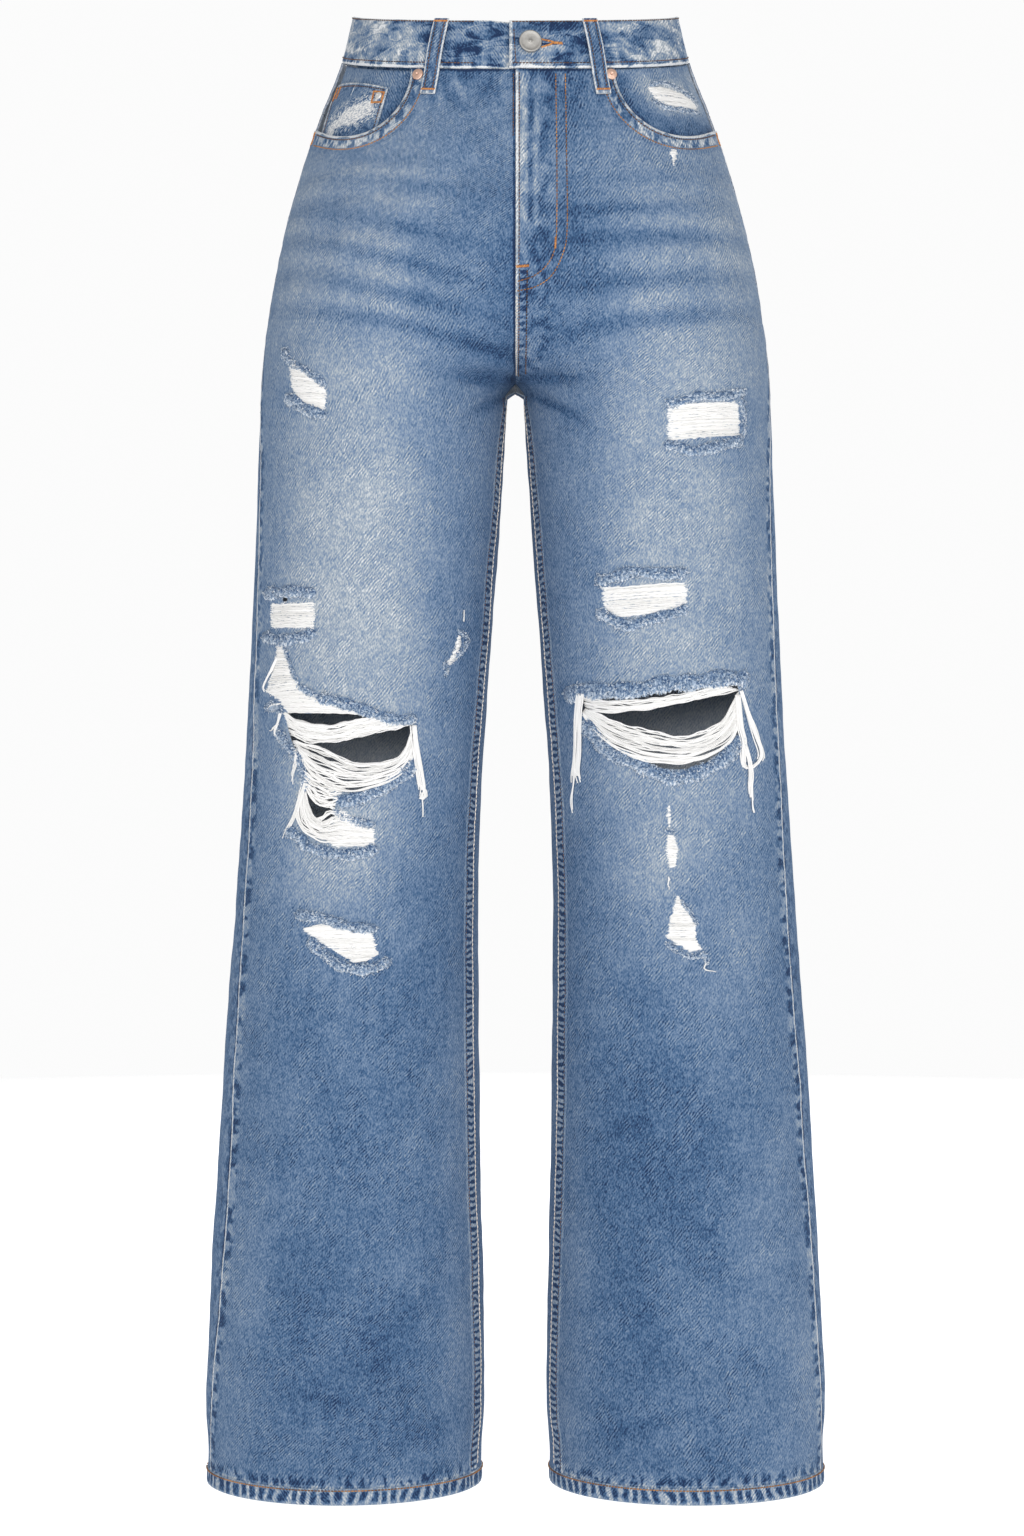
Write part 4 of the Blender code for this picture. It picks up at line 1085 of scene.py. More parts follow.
def band_wear_and_shade(wash):
    """Crushed blotches, worn edges, a pale lap with a dark line of painted shadow on the band under it, and
    the buttonhole's slit as a dark line of painted shade.
    """
    u, v = Wire.field("weave_x"), Wire.field("weave_z")
    edges = Wire.field("edge").rise(0.0017, 0.0007) * 0.8 + v.rise(-0.0320, -0.0327) * 0.55
    crush = Wire.noise(13, (0.55, 0.55, 1.25), detail=2.0, rough=0.55).rise(0.33, 0.67)
    wrinkle = Wire.noise(15, (0.5, 0.5, 1.2), detail=1.5, curl=0.6)
    pale_lines = (wrinkle - 0.5).maths("ABSOLUTE").rise(0.035, 0.0)
    dark_lines = (wrinkle - 0.56).maths("ABSOLUTE").rise(0.04, 0.0)
    crush = crush * 1.05 + pale_lines * 0.35 - dark_lines * 0.35
    ticks = Wire.noise(7, (1, 1, 0.42)).rise(0.4, 0.62)
    low_half = v.rise(-0.014, -0.022)
    beside_stitches = Wire.field("edge").rise(0.0052, 0.0022) * (ticks - 0.75) * 0.55
    lap_edge = u.strip(-0.0060, -0.0050, -0.0028, -0.0018) * Wire.field("lap")
    # Painted shadow on the band just beyond the lap's end.
    lap_shadow = u.strip(-0.0100, -0.0064, -0.0056, -0.0050)
    wash = wash + (crush - 0.5) * 0.85 + low_half * (ticks - 0.5) * 0.4 + beside_stitches + edges
    wash = wash + lap_edge * 0.9 - lap_shadow * 0.7
    # The buttonhole's closed slit is a painted dark line of shade.
    slit_shade = (v + BUTTON_DROP * MM).maths("ABSOLUTE").rise(0.0008, 0.0003)
    slit_shade = slit_shade * u.strip(0.0120, 0.0126, 0.0294, 0.0300) * Wire.field("lap")
    return wash - slit_shade * 1.5


BAND_DENIM = denim_paint("denim_waistband", band_wear_and_shade)
# Where the band is darker (over 0) or paler in front: x, width and depth.
BAND_SPOTS = ((-13, 9, 0.35), (36, 10, 0.6), (-36, 12, 0.4), (-108, 20, -0.36), (106, 18, -0.28))
columns, band_side = band_columns()
profile = folded_edge(BAND_HEIGHT, BAND_WALL, 13)
down, out_of_face = profile.T
rings = []
for face, x, out in columns:
    rings.append(band_point(face, np.full(len(profile), x), down, out + out_of_face, band_side))
rings = np.array(rings)
outside = out_of_face > -0.01
band_x = np.array([x for _, x, _ in columns])
back_of = np.array([face == "back" for face, _, _ in columns])
x, z = rings[..., 0], rings[..., 2]
relief = 0.45 * ripple(x * 1.3, z * 2.0, 26, 41) + 0.3 * ripple(x, z, 11, 42)
relief = relief * outside * swell_between(down, BAND_HEIGHT)
rings[..., 1] += np.where(back_of, 1, -1)[:, None] * relief
dark = np.zeros(len(columns))
# Painted shadow on the band under and beside each belt loop.
for face, x_top, x_low in LOOP_PLACES.values():
    dark += 0.5 * (back_of == (face == "back")) * bell(band_x, (x_top + x_low * 0.5) / 1.5, 9)
for x, width, depth in BAND_SPOTS:
    dark += depth * ~back_of * bell(band_x, x, width)
shown_front = ~back_of & (np.arange(len(columns)) > len(columns) // 2)
band = loft(
    "waistband", rings, BAND_DENIM, turned=True,
    weave_x=np.where(shown_front, band_x, arc_lengths(rings[:, 0]))[:, None] * MM, weave_z=-down * MM,
    wash=(0.42 - dark)[:, None], edge=np.minimum(down, BAND_HEIGHT - down) * MM,
    lap=shown_front.astype(float)[:, None], bare=WHOLE, inside=0.0,
)  # fmt: skip
band_face, band_drops = rings[:, outside], down[outside]

# ---------------------------------------------------------------- hems
# Each leg's end is turned up twice and sewn with brown thread. The seam pulls askew, so the wash
# has left dark ovals between pale ropes all round it.
HEM_WALL, HEM_PROUD = 2.6, 0.5


def hem_wear(wash):
    """Dark ovals of uneven width and height between pale ropes, which lean a little."""
    u, v = Wire.field("weave_x"), Wire.field("weave_z")
    drift = Wire.noise(22) * 11 + v * 110
    wave = (u * (2 * math.pi / 0.0084) + drift).sine()
    fuzz = (Wire.noise(3.0, detail=2.5) - 0.5) * 2.6
    reach = (Wire.noise(9) - 0.5) * 0.006
    inside_edges = (v + reach * 0.4).rise(-0.0016, -0.0036) * (v + reach).rise(-0.0120, -0.0088)
    dark = (wave + fuzz).rise(-0.75, 0.55) * inside_edges
    pale = (wave + fuzz * 0.7).rise(-0.2, -0.9)
    return wash + 0.26 + pale * 0.28 - dark * 0.78


HEM_DENIM = denim_paint("denim_hem", hem_wear)
half_turn = np.linspace(0, 2, 141)
profile = folded_edge(HEM_HEIGHT, HEM_WALL, 8)
down, out_of_face = profile.T
for hand, side in SIDES.items():
    rings = []
    for face, turns in (("front", half_turn), ("back", half_turn[::-1])):
        for turn in turns:
            rings.append(skin(face, hand, HEM_TOP + down, np.full(len(down), turn), HEM_PROUD))
    rings = np.array(rings)
    ways = unit(np.cross(np.gradient(rings, axis=0), (0, 0, 1)) * hand)
    run = arc_lengths(rings[:, 0])[:, None]
    rope = 0.32 * np.sin(run * 2 * math.pi / 9.2 + 0.18 * down + 1.5 * np.sin(run / 37))
    rope = rope * (out_of_face > -0.5) * swell_between(down, HEM_HEIGHT)
    hem = loft(
        "hem_" + side, rings + ways * (out_of_face + rope)[..., None], HEM_DENIM,
        closed=True, turned=hand < 0, weave_x=run * MM, weave_z=-down * MM,
        wash=0.28 + 0.12 * np.exp(-((HEM_HEIGHT - down) / 1.4)), bare=WHOLE, inside=0.0,
    )  # fmt: skip
    "front_panel_" + side
    "back_panel_" + side

# ---------------------------------------------------------------- pocket facings and bags
# The wearer's hand slides in over a facing of the same denim, which fills each pocket's mouth.
# It is sewn to a plain white cotton bag behind. The left facing is worn through to its weft.
FACING_OUT = {"right": -4.2, "left": -1.8}
FACING_LOW = 112.0


def facing_wear(wash):
    """Soft dark and pale patches."""
    patches = Wire.noise(21, detail=1.5).rise(0.36, 0.64)
    return wash + (patches - 0.5) * 0.25


FACING_DENIM = denim_paint("denim_facing", facing_wear)
FACING_RIP = (
    ((94.8, -68.4), (112, -66.8)), ((97, -72), (127, -69)), ((100, -77.5), (133.5, -73.5)),
    ((107, -80), (131, -77)),
)  # fmt: skip
facing_grids = {}
for hand, side in SIDES.items():
    drop = np.linspace(PANEL_TOP, FACING_LOW, 64)[:, None]
    base = skin("front", hand, drop, np.linspace(1.0, 2.0, 70), FACING_OUT[side])
    normals = outward(base, hand < 0)
    x, z = base[..., 0], base[..., 2]
    points = base + normals * (0.25 * ripple(x, z, 30, 50 + hand))[..., None]
    places = points[..., [0, 2]]
    mouth, _ = outline_distance(places, mouth_outline(hand))
    # Painted shade: darker inside the lower part of the pocket mouth, and just under the waistband.
    wash = 0.34 - 0.5 * bell(mouth, 3, 11) * (z < -60) - 0.2 * np.exp(-((drop - BAND_HEIGHT) / 4))
    wash = wash + 0.25 * bell(z, -50, 10)
    bare = WHOLE
    if side == "left":
        bare = outline_distance(places, web_outline(FACING_RIP))[0]
        points = points - normals * (0.5 * worn_through(bare))[..., None]
        wash = wash + 0.45 * bell(bare, 0, 9)
    facing_grids[side] = points
    facing = cloth(
        "pocket_facing_" + side, points, normals, FACING_DENIM, turned=hand < 0,
        weave_x=arc_lengths(base) * MM, weave_z=-drop * MM, wash=wash, bare=bare,
    )  # fmt: skip

pocketing = Wire.start("white_pocketing")
plain_weave = Wire.noise(1.4)
Wire.finish(
    {"Roughness": 0.92, "Sheen Weight": 0.1, "Specular IOR Level": 0.2},
    Base_Color=plain_weave.tint(srgb(226, 223, 214), srgb(244, 242, 236)),
    Normal=Wire.bump(plain_weave, 0.15),
)
for side in SIDES.values():
    bpy.data.objects["pocket_bag_" + side].material_slots[0].material = pocketing

# ---------------------------------------------------------------- coin pocket
# A small patch of denim on the right facing. Its mouth is turned in and its body runs down behind
# the front panel. The wash has torn it white, with torn white threads round the rip.
COIN_LIFT, COIN_WALL = 1.4, 1.0
COIN_WIDTH, COIN_HEIGHT, COIN_ROWS, COIN_COLUMNS = 43.0, 62.0, 46, 44
# The outer and the inner edge at the mouth, lower down and at the foot.
COIN_OUTER = np.array(((-132.2, -53.2), (-141.3, -93.9), (-148, -118)))
COIN_INNER = np.array(((-90.7, -69.5), (-98, -96.8), (-104, -122)))
COIN_RIP = (
    (-130, -84.5), (-122, -79), (-112, -77.5), (-103.5, -76), (-101.5, -82), (-105, -88), (-113, -90.5),
    (-119, -92.5), (-127, -92), (-134, -97), (-139, -95), (-135, -89),
)  # fmt: skip


def coin_wear(wash):
    """Worn edges and seams, and torn white threads round the rip."""
    edge = Wire.field("edge").rise(0.0019, 0.0008)
    torn = Wire.noise(4.6, (0.8, 1, 0.8), turn=-30, detail=2.0, curl=1.4)
    torn = (torn - 0.5).maths("ABSOLUTE").rise(0.07, 0.02)
    near = Wire.field("near_rip")
    seam = Wire.field("edge").rise(0.0095, 0.004) * (Wire.noise(5).rise(0.4, 0.6) - 0.5)
    return wash + edge * 0.8 + torn * near * 0.95 + seam * 0.4


class Ground:
    """The cloth as it is seen square from the front or the back, for what lies on it."""

    def __init__(self, *grids, behind=False):
        self.toward = 1 if behind else -1
        points, faces, count = [], [], 0
        for grid in grids:
            rows, columns = grid.shape[:2]
            index = np.arange(rows * columns).reshape(rows, columns) + count
            points.append(grid.reshape(-1, 3))
            faces.append(squares(index))
            count += rows * columns
        self.tree = BVHTree.FromPolygons(np.concatenate(points).tolist(), np.concatenate(faces).tolist())

    def lay(self, places, lift=0.0):
        """Places (x, z) as points on the cloth, lifted off it, and the cloth's normals there."""
        places = np.asarray(places)
        points, normals = [], []
        for x, z in places.reshape(-1, 2):
            start, way = Vector((x, self.toward * 400, z)), Vector((0, -self.toward, 0))
            hit, normal, _, _ = self.tree.ray_cast(start, way)
            if hit is None:
                hit, normal, _, _ = self.tree.find_nearest(Vector((x, self.toward * 60, z)))
            if normal.y * self.toward < 0:
                normal = -normal
            points.append(hit)
            normals.append(normal)
        shape = places.shape[:-1] + (3,)
        points, normals = np.array(points), np.array(normals)
        points = points + normals * np.reshape(lift, (-1, 1))
        return points.reshape(shape), normals.reshape(shape)


right_facing_ground, left_facing_ground = (Ground(facing_grids[side]) for side in SIDES.values())
share = np.linspace(0, 1, COIN_ROWS)
middle_share = (COIN_OUTER[1, 1] - COIN_OUTER[0, 1]) / (COIN_OUTER[2, 1] - COIN_OUTER[0, 1])
outer, inner = (
    np.stack([np.interp(share, (0, middle_share, 1), corners[:, axis]) for axis in (0, 1)], -1)[:, None]
    for corners in (COIN_OUTER, COIN_INNER)
)
down, across = share[:, None], np.linspace(0, 1, COIN_COLUMNS)
places = outer * (1 - across[:, None]) + inner * across[:, None]
points, normals = right_facing_ground.lay(places, COIN_LIFT)
edge = np.minimum(np.minimum(down * COIN_HEIGHT, across * COIN_WIDTH), (1 - across) * COIN_WIDTH)
torn, _ = outline_distance(points[..., [0, 2]], np.array(COIN_RIP, float))
ragged = torn + 0.8 * ripple(points[..., 0], points[..., 2], 7, 61)
points = points + normals * (0.35 * bell(edge, 0, 1.2) - 0.4 * np.clip((1 - ragged) / 2, 0, 1))[..., None]
coin_grid = points
COIN_DENIM = denim_paint("denim_coin_pocket", coin_wear, (0.42, 1, 1.0), -30)
coin_pocket = cloth(
    "coin_pocket", points, normals, COIN_DENIM, COIN_WALL,
    weave_x=across * COIN_WIDTH * MM, weave_z=-down * COIN_HEIGHT * MM, bare=ragged, edge=edge * MM,
    wash=0.22 - 0.3 * bell(points[..., 2], -98, 6),
    near_rip=np.clip((11 - torn) / 7, 0, 1) * np.clip((edge - 1) / 3, 0, 1),
)  # fmt: skip

# ---------------------------------------------------------------- back pockets
# A patch pocket on each side of the seat, with a turned mouth and a pointed foot.
BACK_MIDDLE, BACK_TOP, BACK_WIDTH, BACK_HEIGHT, BACK_POINT = 84.0, -128.0, 128.0, 118.0, 22.0
BACK_LIFT, BACK_WALL = 1.6, 1.0


def patch_wear(wash):
    """Worn edges, and ropes beside them."""
    edge = Wire.field("edge").rise(0.0022, 0.0008)
    ropes = Wire.noise(5.5).rise(0.4, 0.6)
    beside = Wire.field("edge").rise(0.0105, 0.008)
    return wash + edge * 0.5 + beside * (ropes - 0.5) * 0.5


PATCH_DENIM = denim_paint("denim_back_pocket", patch_wear)
back_ground = Ground(back_grids["right"].points, back_grids["left"].points, behind=True)


def back_pocket_places(hand, down, across):
    """A place on the pocket: down from 0 to 1, and across from -1, the inner edge, to 1."""
    x = BACK_MIDDLE + across * BACK_WIDTH / 2 * (1 - 0.14 * down)
    z = BACK_TOP - down * (BACK_HEIGHT + BACK_POINT * (1 - np.abs(across))) - 5 * across
    return np.stack((hand * x, z), -1)


pocket_down, pocket_across = np.linspace(0, 1, 40)[:, None], np.linspace(-1, 1, 42)
edge = np.minimum((1 - np.abs(pocket_across)) * BACK_WIDTH / 2, (1 - pocket_down) * (BACK_HEIGHT + 8))
edge = np.minimum(edge, pocket_down * BACK_HEIGHT)
for hand, side in SIDES.items():
    places = back_pocket_places(hand, pocket_down, pocket_across)
    points, normals = back_ground.lay(places, BACK_LIFT)
    points = points + normals * (0.35 * ripple(points[..., 0], points[..., 2], 34, 70 + hand))[..., None]
    pocket = cloth(
        "back_pocket_" + side, points, normals, PATCH_DENIM, BACK_WALL, turned=hand > 0,
        weave_x=pocket_across * BACK_WIDTH / 2 * MM, weave_z=places[..., 1] * MM, bare=WHOLE,
        edge=edge * MM, wash=0.3 + 0.25 * bell(places[..., 1], -175, 45),
    )  # fmt: skip
    rests_on = ["back_panel_" + side]

# ---------------------------------------------------------------- belt loops
# Five folded strips of denim, sewn down with orange bar tacks above and below the waistband. Their
# turned edges have worn pale beside two rows of stitches.
LOOP_WIDTH, LOOP_WALL, LOOP_TAIL = 10.5, 2.0, 20.0
LOOP_BASE, LOOP_ARCH = BAND_PROUD + 0.4, 1.8


def loop_wear(wash):
    """Pale turned edges, worn patches down the middle, and a pale cut end."""
    across = Wire.field("across")
    edge = across.rise(0.74, 0.88)
    middle = across.rise(0.35, 0.05)
    patches = Wire.noise(8, detail=1.5).rise(0.35, 0.65)
    return wash + edge * 1.15 + middle * patches * 0.5 + Wire.field("tail") * 0.6


LOOP_DENIM = denim_paint("denim_belt_loop", loop_wear)
LOOP_ACROSS = np.array((0.0, 0.3, 0.55, 0.8, 0.96, 1.0, 0.96, 0.55, 0.0))
LOOP_HEIGHT = np.array((0.12, 0.05, -0.18, 0.08, -0.1, -1.0, -1.75, -1.95, -2.0))
LOOP_ACROSS = np.concatenate((LOOP_ACROSS, -LOOP_ACROSS[1:-1][::-1]))
LOOP_HEIGHT = np.concatenate((LOOP_HEIGHT, LOOP_HEIGHT[1:-1][::-1]))


def loop_line(name, share, across=0.0, out=0.0):
    """Points along a belt loop: share runs down it, across is -1 to 1, and out is from its face."""
    face, x_top, x_low = LOOP_PLACES[name]
    drop = -0.6 + (BAND_HEIGHT + LOOP_TAIL) * share
    x = x_top + (x_low - x_top) * share + LOOP_WIDTH / 2 * across
    stand = LOOP_BASE + LOOP_WALL + LOOP_ARCH * np.sin(math.pi * np.minimum(share * 1.35, 1))
    return skin_x(face, x, drop, stand + out)


share = np.linspace(0, 1, 48)
for name, (face, _, _) in LOOP_PLACES.items():
    rings = np.stack([loop_line(name, share, a, h) for a, h in zip(LOOP_ACROSS, LOOP_HEIGHT)], 1)
    belt_loop = loft(
        "belt_loop_" + name, rings, LOOP_DENIM, turned=face == "back",
        weave_x=LOOP_ACROSS * LOOP_WIDTH / 2 * MM, weave_z=-share[:, None] * (BAND_HEIGHT + LOOP_TAIL) * MM,
        across=np.abs(LOOP_ACROSS), wash=0.1 + 0.05 * LOOP_HEIGHT,
        tail=np.clip((share[:, None] - 0.955) / 0.01, 0, 1), bare=WHOLE,
    )  # fmt: skip

# ---------------------------------------------------------------- zip, button and rivets
# The zip behind the fly is closed. A satin nickel tack button and plain copper rivets are riveted
# through the cloth.
tape_paint = Wire.start("zip_tape_cotton")
tape_weave = Wire.noise(1.2)
Wire.finish({"Roughness": 0.9}, Base_Color=tape_weave.tint(srgb(34, 48, 74), srgb(58, 76, 106)))
bpy.data.objects["zip_tape"].material_slots[0].material = tape_paint
slider_brass = Wire.start("slider_brass")
Wire.finish({"Base Color": srgb(186, 152, 92), "Metallic": 1.0, "Roughness": 0.38})
bpy.data.objects["zip_slider"].material_slots[0].material = slider_brass


def stand_on(ground, x, z):
    """Middle, level direction, upward direction and normal at a place seen on the cloth."""
    middle, normal = ground.lay((x, z))
    level = unit(np.cross((0, 0, 1.0), normal) * -ground.toward)
    return middle, level, np.cross(normal, level), normal


def turned_solid(name, profile, frame_at, material, steps):
    """A round solid: the profile's (radius, height) pairs run from its top down its outer side."""
    middle, level, upward, normal = frame_at
    angle = np.arange(steps)[:, None] * 2 * math.pi / steps
    around = np.cos(angle) * level + np.sin(angle) * upward
    radius, height = np.array(profile, float).T[..., None, None]
    rings = middle + radius * around + height * normal
    quads = squares(np.arange(len(profile) * steps).reshape(-1, steps), ring=True)
    return solid(name, rings.reshape(-1, 3), quads, material)


def metal(name, low, high, roughness):
    """A lightly worn metal, between two colours."""
    material = Wire.start(name)
    worn = Wire.noise(1.6, detail=3.0)
    Wire.finish(
        {"Metallic": 1.0},
        Base_Color=worn.tint(low, high),
        Roughness=worn * 0.2 + roughness,
        Normal=Wire.bump(Wire.noise(0.5), 0.02),
    )
    return material


band_ground = Ground(band_face)
nickel = metal("satin_nickel", srgb(156, 153, 149), srgb(190, 188, 184), 0.5)
copper = metal("plain_copper", srgb(208, 166, 144), srgb(244, 214, 196), 0.45)
silver = metal("white_metal", srgb(226, 224, 220), srgb(248, 247, 245), 0.45)
BUTTON_FACE = (
    (0.05, 4.5), (0.9, 4.45), (1.15, 4.15), (1.5, 3.95), (3, 3.85), (5, 3.8), (6.3, 3.95), (7, 4.3),
    (7.5, 4.35), (7.95, 4.05), (8.15, 3.4), (8, 2.7), (7.2, 1.9), (2.2, 1.5), (2.2, -1), (0.05, -1.1),
)  # fmt: skip
BUTTON_Z = -41.0
button = turned_solid("tack_button", BUTTON_FACE, stand_on(band_ground, BUTTON_X, BUTTON_Z), nickel, 48)
cover(button, "waist_button")
Rivet = namedtuple("Rivet", "name x z ground radius metal")
front_ground = Ground(front_grids["right"].points, front_grids["left"].points)
coin_ground = Ground(coin_grid)
RIVETS = (
    Rivet("rivet_pocket_right", -69.5, -62.5, front_ground, 4.2, copper),
    Rivet("rivet_pocket_left", 68.0, -62.5, front_ground, 4.2, copper),
    Rivet("rivet_coin", -98.0, -74.6, coin_ground, 2.8, silver),
)
for rivet in RIVETS:
    r = rivet.radius
    face = (
        (0.03, 1.35), (0.14 * r, 1.3), (0.2 * r, 1.75), (0.34 * r, 1.8), (0.55 * r, 1.5), (0.78 * r, 1.45),
        (0.93 * r, 1.3), (r, 0.8), (0.98 * r, 0.2), (0.9 * r, -0.6), (0.03, -0.7),
    )  # fmt: skip
    stand = stand_on(rivet.ground, rivet.x, rivet.z)
    cover(turned_solid(rivet.name + "_cap", face, stand, rivet.metal, 32), rivet.name)

# ---------------------------------------------------------------- weft yarns of the rips
# Where the blue warp is worn or torn away the white weft yarns are left. They lie side by side
# on the worn patches, and hang in slack bands across the knees.
class Strands:
    """Thin strands of one kind, joined into one mesh."""

    def __init__(self, sides=6):
        self.sides, self.points, self.quads, self.shades, self.count = sides, [], [], [], 0

    def join(self, rings, shades, caps):
        """One strand's rings of points, its shades, and the corners that close its two ends."""
        index = np.arange(rings.shape[0] * rings.shape[1]).reshape(rings.shape[:2]) + self.count
        self.points.append(rings.reshape(-1, 3))
        self.quads.append(squares(index, ring=True)[:, [0, 3, 2, 1]])
        for corners in caps:
            self.quads.append(np.array((index[0, corners], index[-1, [corners[0], *corners[:0:-1]]])))
        self.shades.append(np.broadcast_to(shades, index.shape).ravel())
        self.count += index.size

    def add(self, path, radius, shade, facing=(0, -1, 0)):
        """A strand through the points of a path, with one shade."""
        run = unit(np.gradient(path, axis=0))
        side = unit(np.cross(run, facing))
        up = np.cross(side, run)
        angle = (np.arange(self.sides) + 0.5) * 2 * math.pi / self.sides
        around = np.cos(angle)[:, None] * side[:, None] + np.sin(angle)[:, None] * up[:, None]
        rings = path[:, None] + np.reshape(np.broadcast_to(radius, len(path)), (-1, 1, 1)) * around
        self.join(rings, shade, [[0, k + 2, k + 1, k] for k in range(1, self.sides - 2, 2)])

    def tube(self, rings, shades):
        """A tube through closed rings of twelve points, with a shade at each of them."""
        self.join(rings, shades, [[k, 11 - k, 10 - k, k + 1] for k in range(5)])

    def piece(self, name, material, slot):
        points, quads, shades = (np.concatenate(kept) for kept in (self.points, self.quads, self.shades))
        made = solid(name, points, quads, material, shade=shades)
        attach(made, "root")
        return made


def even(path, count):
    """The same path, as a number of points evenly spaced along it."""
    lengths = arc_lengths(path)
    return places_at(np.linspace(0, lengths[-1], count), lengths, path)


def places_at(marks, lengths, path):
    """A path's values at any distances along it."""
    return np.stack([np.interp(marks, lengths, path[:, k]) for k in range(path.shape[1])], -1)


def spaced(path, step):
    """The same path, with its points about a step apart."""
    return even(path, max(int(arc_lengths(path)[-1] / step), 2) + 1)


YARN_RADIUS, YARN_PITCH = 0.52, 0.66


def lay_weft(strands, ground, guides, draw, pitch=YARN_PITCH, loose=0.0, missing=0.1):
    """Yarns side by side between guide yarns; loose ones cross and stand off the cloth."""
    lines = np.array([even(smooth_curve(guide, 1.0), 30) for guide in guides])
    heights = np.linalg.norm(lines[:-1] - lines[1:], axis=-1).mean(1)
    marks = np.concatenate(([0], np.cumsum(heights)))
    columns = np.arange(30)
    for mark in np.arange(pitch / 2, marks[-1], pitch):
        if draw.random() < missing:
            continue
        drift = mark + draw.normal(0, 0.25 + loose * 0.7)
        drift = drift + np.linspace(-1, 1, 30) * draw.normal(0, 0.1 + loose * 0.8)
        bunch = np.sin(mark * 2 * math.pi / 5.5 + 2.4 * np.sin(np.linspace(0, 7, 30) + marks[-1]))
        drift = np.clip(drift + (0.2 + 1.2 * loose) * bunch, 0, marks[-1])
        k = np.clip(np.searchsorted(marks, drift, "right") - 1, 0, len(lines) - 2)
        share = ((drift - marks[k]) / heights[k])[:, None]
        line = lines[k, columns] * (1 - share) + lines[k + 1, columns] * share
        chord = line[-1] - line[0]
        longest = 1.5 if loose else min(3.8, 0.4 + 0.09 * np.linalg.norm(chord))
        before, after = draw.uniform(0.2, longest, 2)
        line = np.concatenate((line[:1] - unit(chord) * before, line, line[-1:] + unit(chord) * after))
        line = spaced(line, 3.0 if loose else 2.6)
        t = np.linspace(0, 1, len(line))
        for waves in (draw.uniform(1, 4), draw.uniform(4, 9)):
            sway = draw.uniform(0.1, 0.3 + 0.5 * loose) * np.sin(waves * 6.3 * t + draw.uniform(0, 6))
            line[:, 1] += sway
        arch = np.sin(np.pi * t) ** 0.5
        lift = -0.9 + arch * (1.05 + draw.uniform(0, 0.35 + loose * 2.2))
        path, _ = ground.lay(line, lift)
        strands.add(path, (YARN_RADIUS + 0.1 * loose) * draw.uniform(0.85, 1.15), draw.uniform(0, 1))


THREAD_STOPS = ((0, srgb(200, 199, 197)), (0.3, srgb(226, 225, 223)), (1, srgb(243, 242, 241)))
thread_paint = Wire.start("white_weft_yarn")
ply = Wire.noise(0.9, (0.5, 1, 1.6))
Wire.finish(
    {"Roughness": 0.92, "Sheen Weight": 0.15, "Specular IOR Level": 0.2},
    Base_Color=(Wire.field("shade") * 0.75 + ply * 0.35).ramp(*THREAD_STOPS),
    Normal=Wire.bump(ply, 0.15),
)

# Slack bands of weft across the knee holes: guide yarns from the top of each band to its foot.
BANDS = {
    "right": (
        (((-168, -515), (-154, -523), (-135, -525.8), (-118, -523), (-99, -519)),
         ((-165, -523), (-150, -531), (-130, -532.5), (-108, -527), (-84, -522.5)),
         ((-161, -533), (-147, -538), (-125, -537.3), (-97, -531), (-73, -525.8))),
        (((-159, -537), (-143, -541), (-130, -546), (-113, -553), (-94, -552.5), (-81, -546.5),
         (-73.5, -528)),
         ((-157, -542), (-146, -552), (-131, -559), (-113, -563), (-93, -560), (-80, -552), (-73, -539)),
         ((-155, -547), (-146, -561.5), (-132, -570), (-114, -573), (-93, -567), (-80, -559),
          (-72.5, -549))),
        (((-155, -556), (-142, -564), (-131, -568), (-122, -570)),
         ((-153, -562), (-140.4, -570.2), (-131.9, -573.5), (-124, -574.4)),
         ((-152, -566), (-143.9, -576.1), (-135.3, -580.3), (-125, -580.3)),
         ((-150, -570.2), (-145.6, -578.6), (-138.7, -583.3), (-129, -585.7))),
        (((-150, -572.7), (-148.2, -580.4), (-143.9, -590.4), (-138.7, -592.2), (-133.6, -587.4),
         (-126, -586.1)),
         ((-151.7, -573.6), (-150.8, -583.7), (-146.4, -594.6), (-136.2, -600.9), (-125.1, -598.8),
          (-112, -599.2)),
         ((-153.4, -574.5), (-154.3, -587.1), (-150.8, -597.2), (-138.7, -604.7), (-126.8, -603.8),
          (-112, -603)),
         ((-154.8, -576.2), (-157.4, -587.1), (-153.4, -599.3), (-138.7, -608.9), (-126.8, -609.7),
          (-112, -608.9))),
    ),
    "left": (
        (((46, -504), (60.5, -507.5), (88.7, -507.8), (117, -503.8), (150, -497.5)),
         ((51, -512), (67, -514), (95, -512), (125, -506.5), (155, -499)),
         ((54, -516), (75, -516.8), (103, -512.6), (131.5, -507), (159.5, -500.6))),
        (((51, -514), (60, -518.5), (75, -524.5), (96, -530), (116, -534.4), (132, -531), (148, -521.5),
         (160, -502)),
         ((49, -516), (61, -527), (78, -537), (99, -543.5), (120, -545), (137, -541), (152, -530),
          (160.5, -515)),
         ((47, -517), (60, -535), (81, -548.6), (102, -553), (122, -552.5), (138, -549), (153, -540),
          (161, -526))),
    ),
}  # fmt: skip

for side in SIDES.values():
    draw = np.random.default_rng(7 if side == "right" else 8)
    yarns = Strands()
    for guides in WEBS[side]:
        lay_weft(yarns, front_ground, guides, draw)
    for guides in BANDS[side]:
        lay_weft(yarns, front_ground, guides, draw, pitch=0.55, loose=0.5, missing=0.03)
    if side == "left":
        lay_weft(yarns, left_facing_ground, FACING_RIP, draw, pitch=0.7, loose=0.25)
    yarns.piece("weft_yarns_" + side, thread_paint, "white_thread")

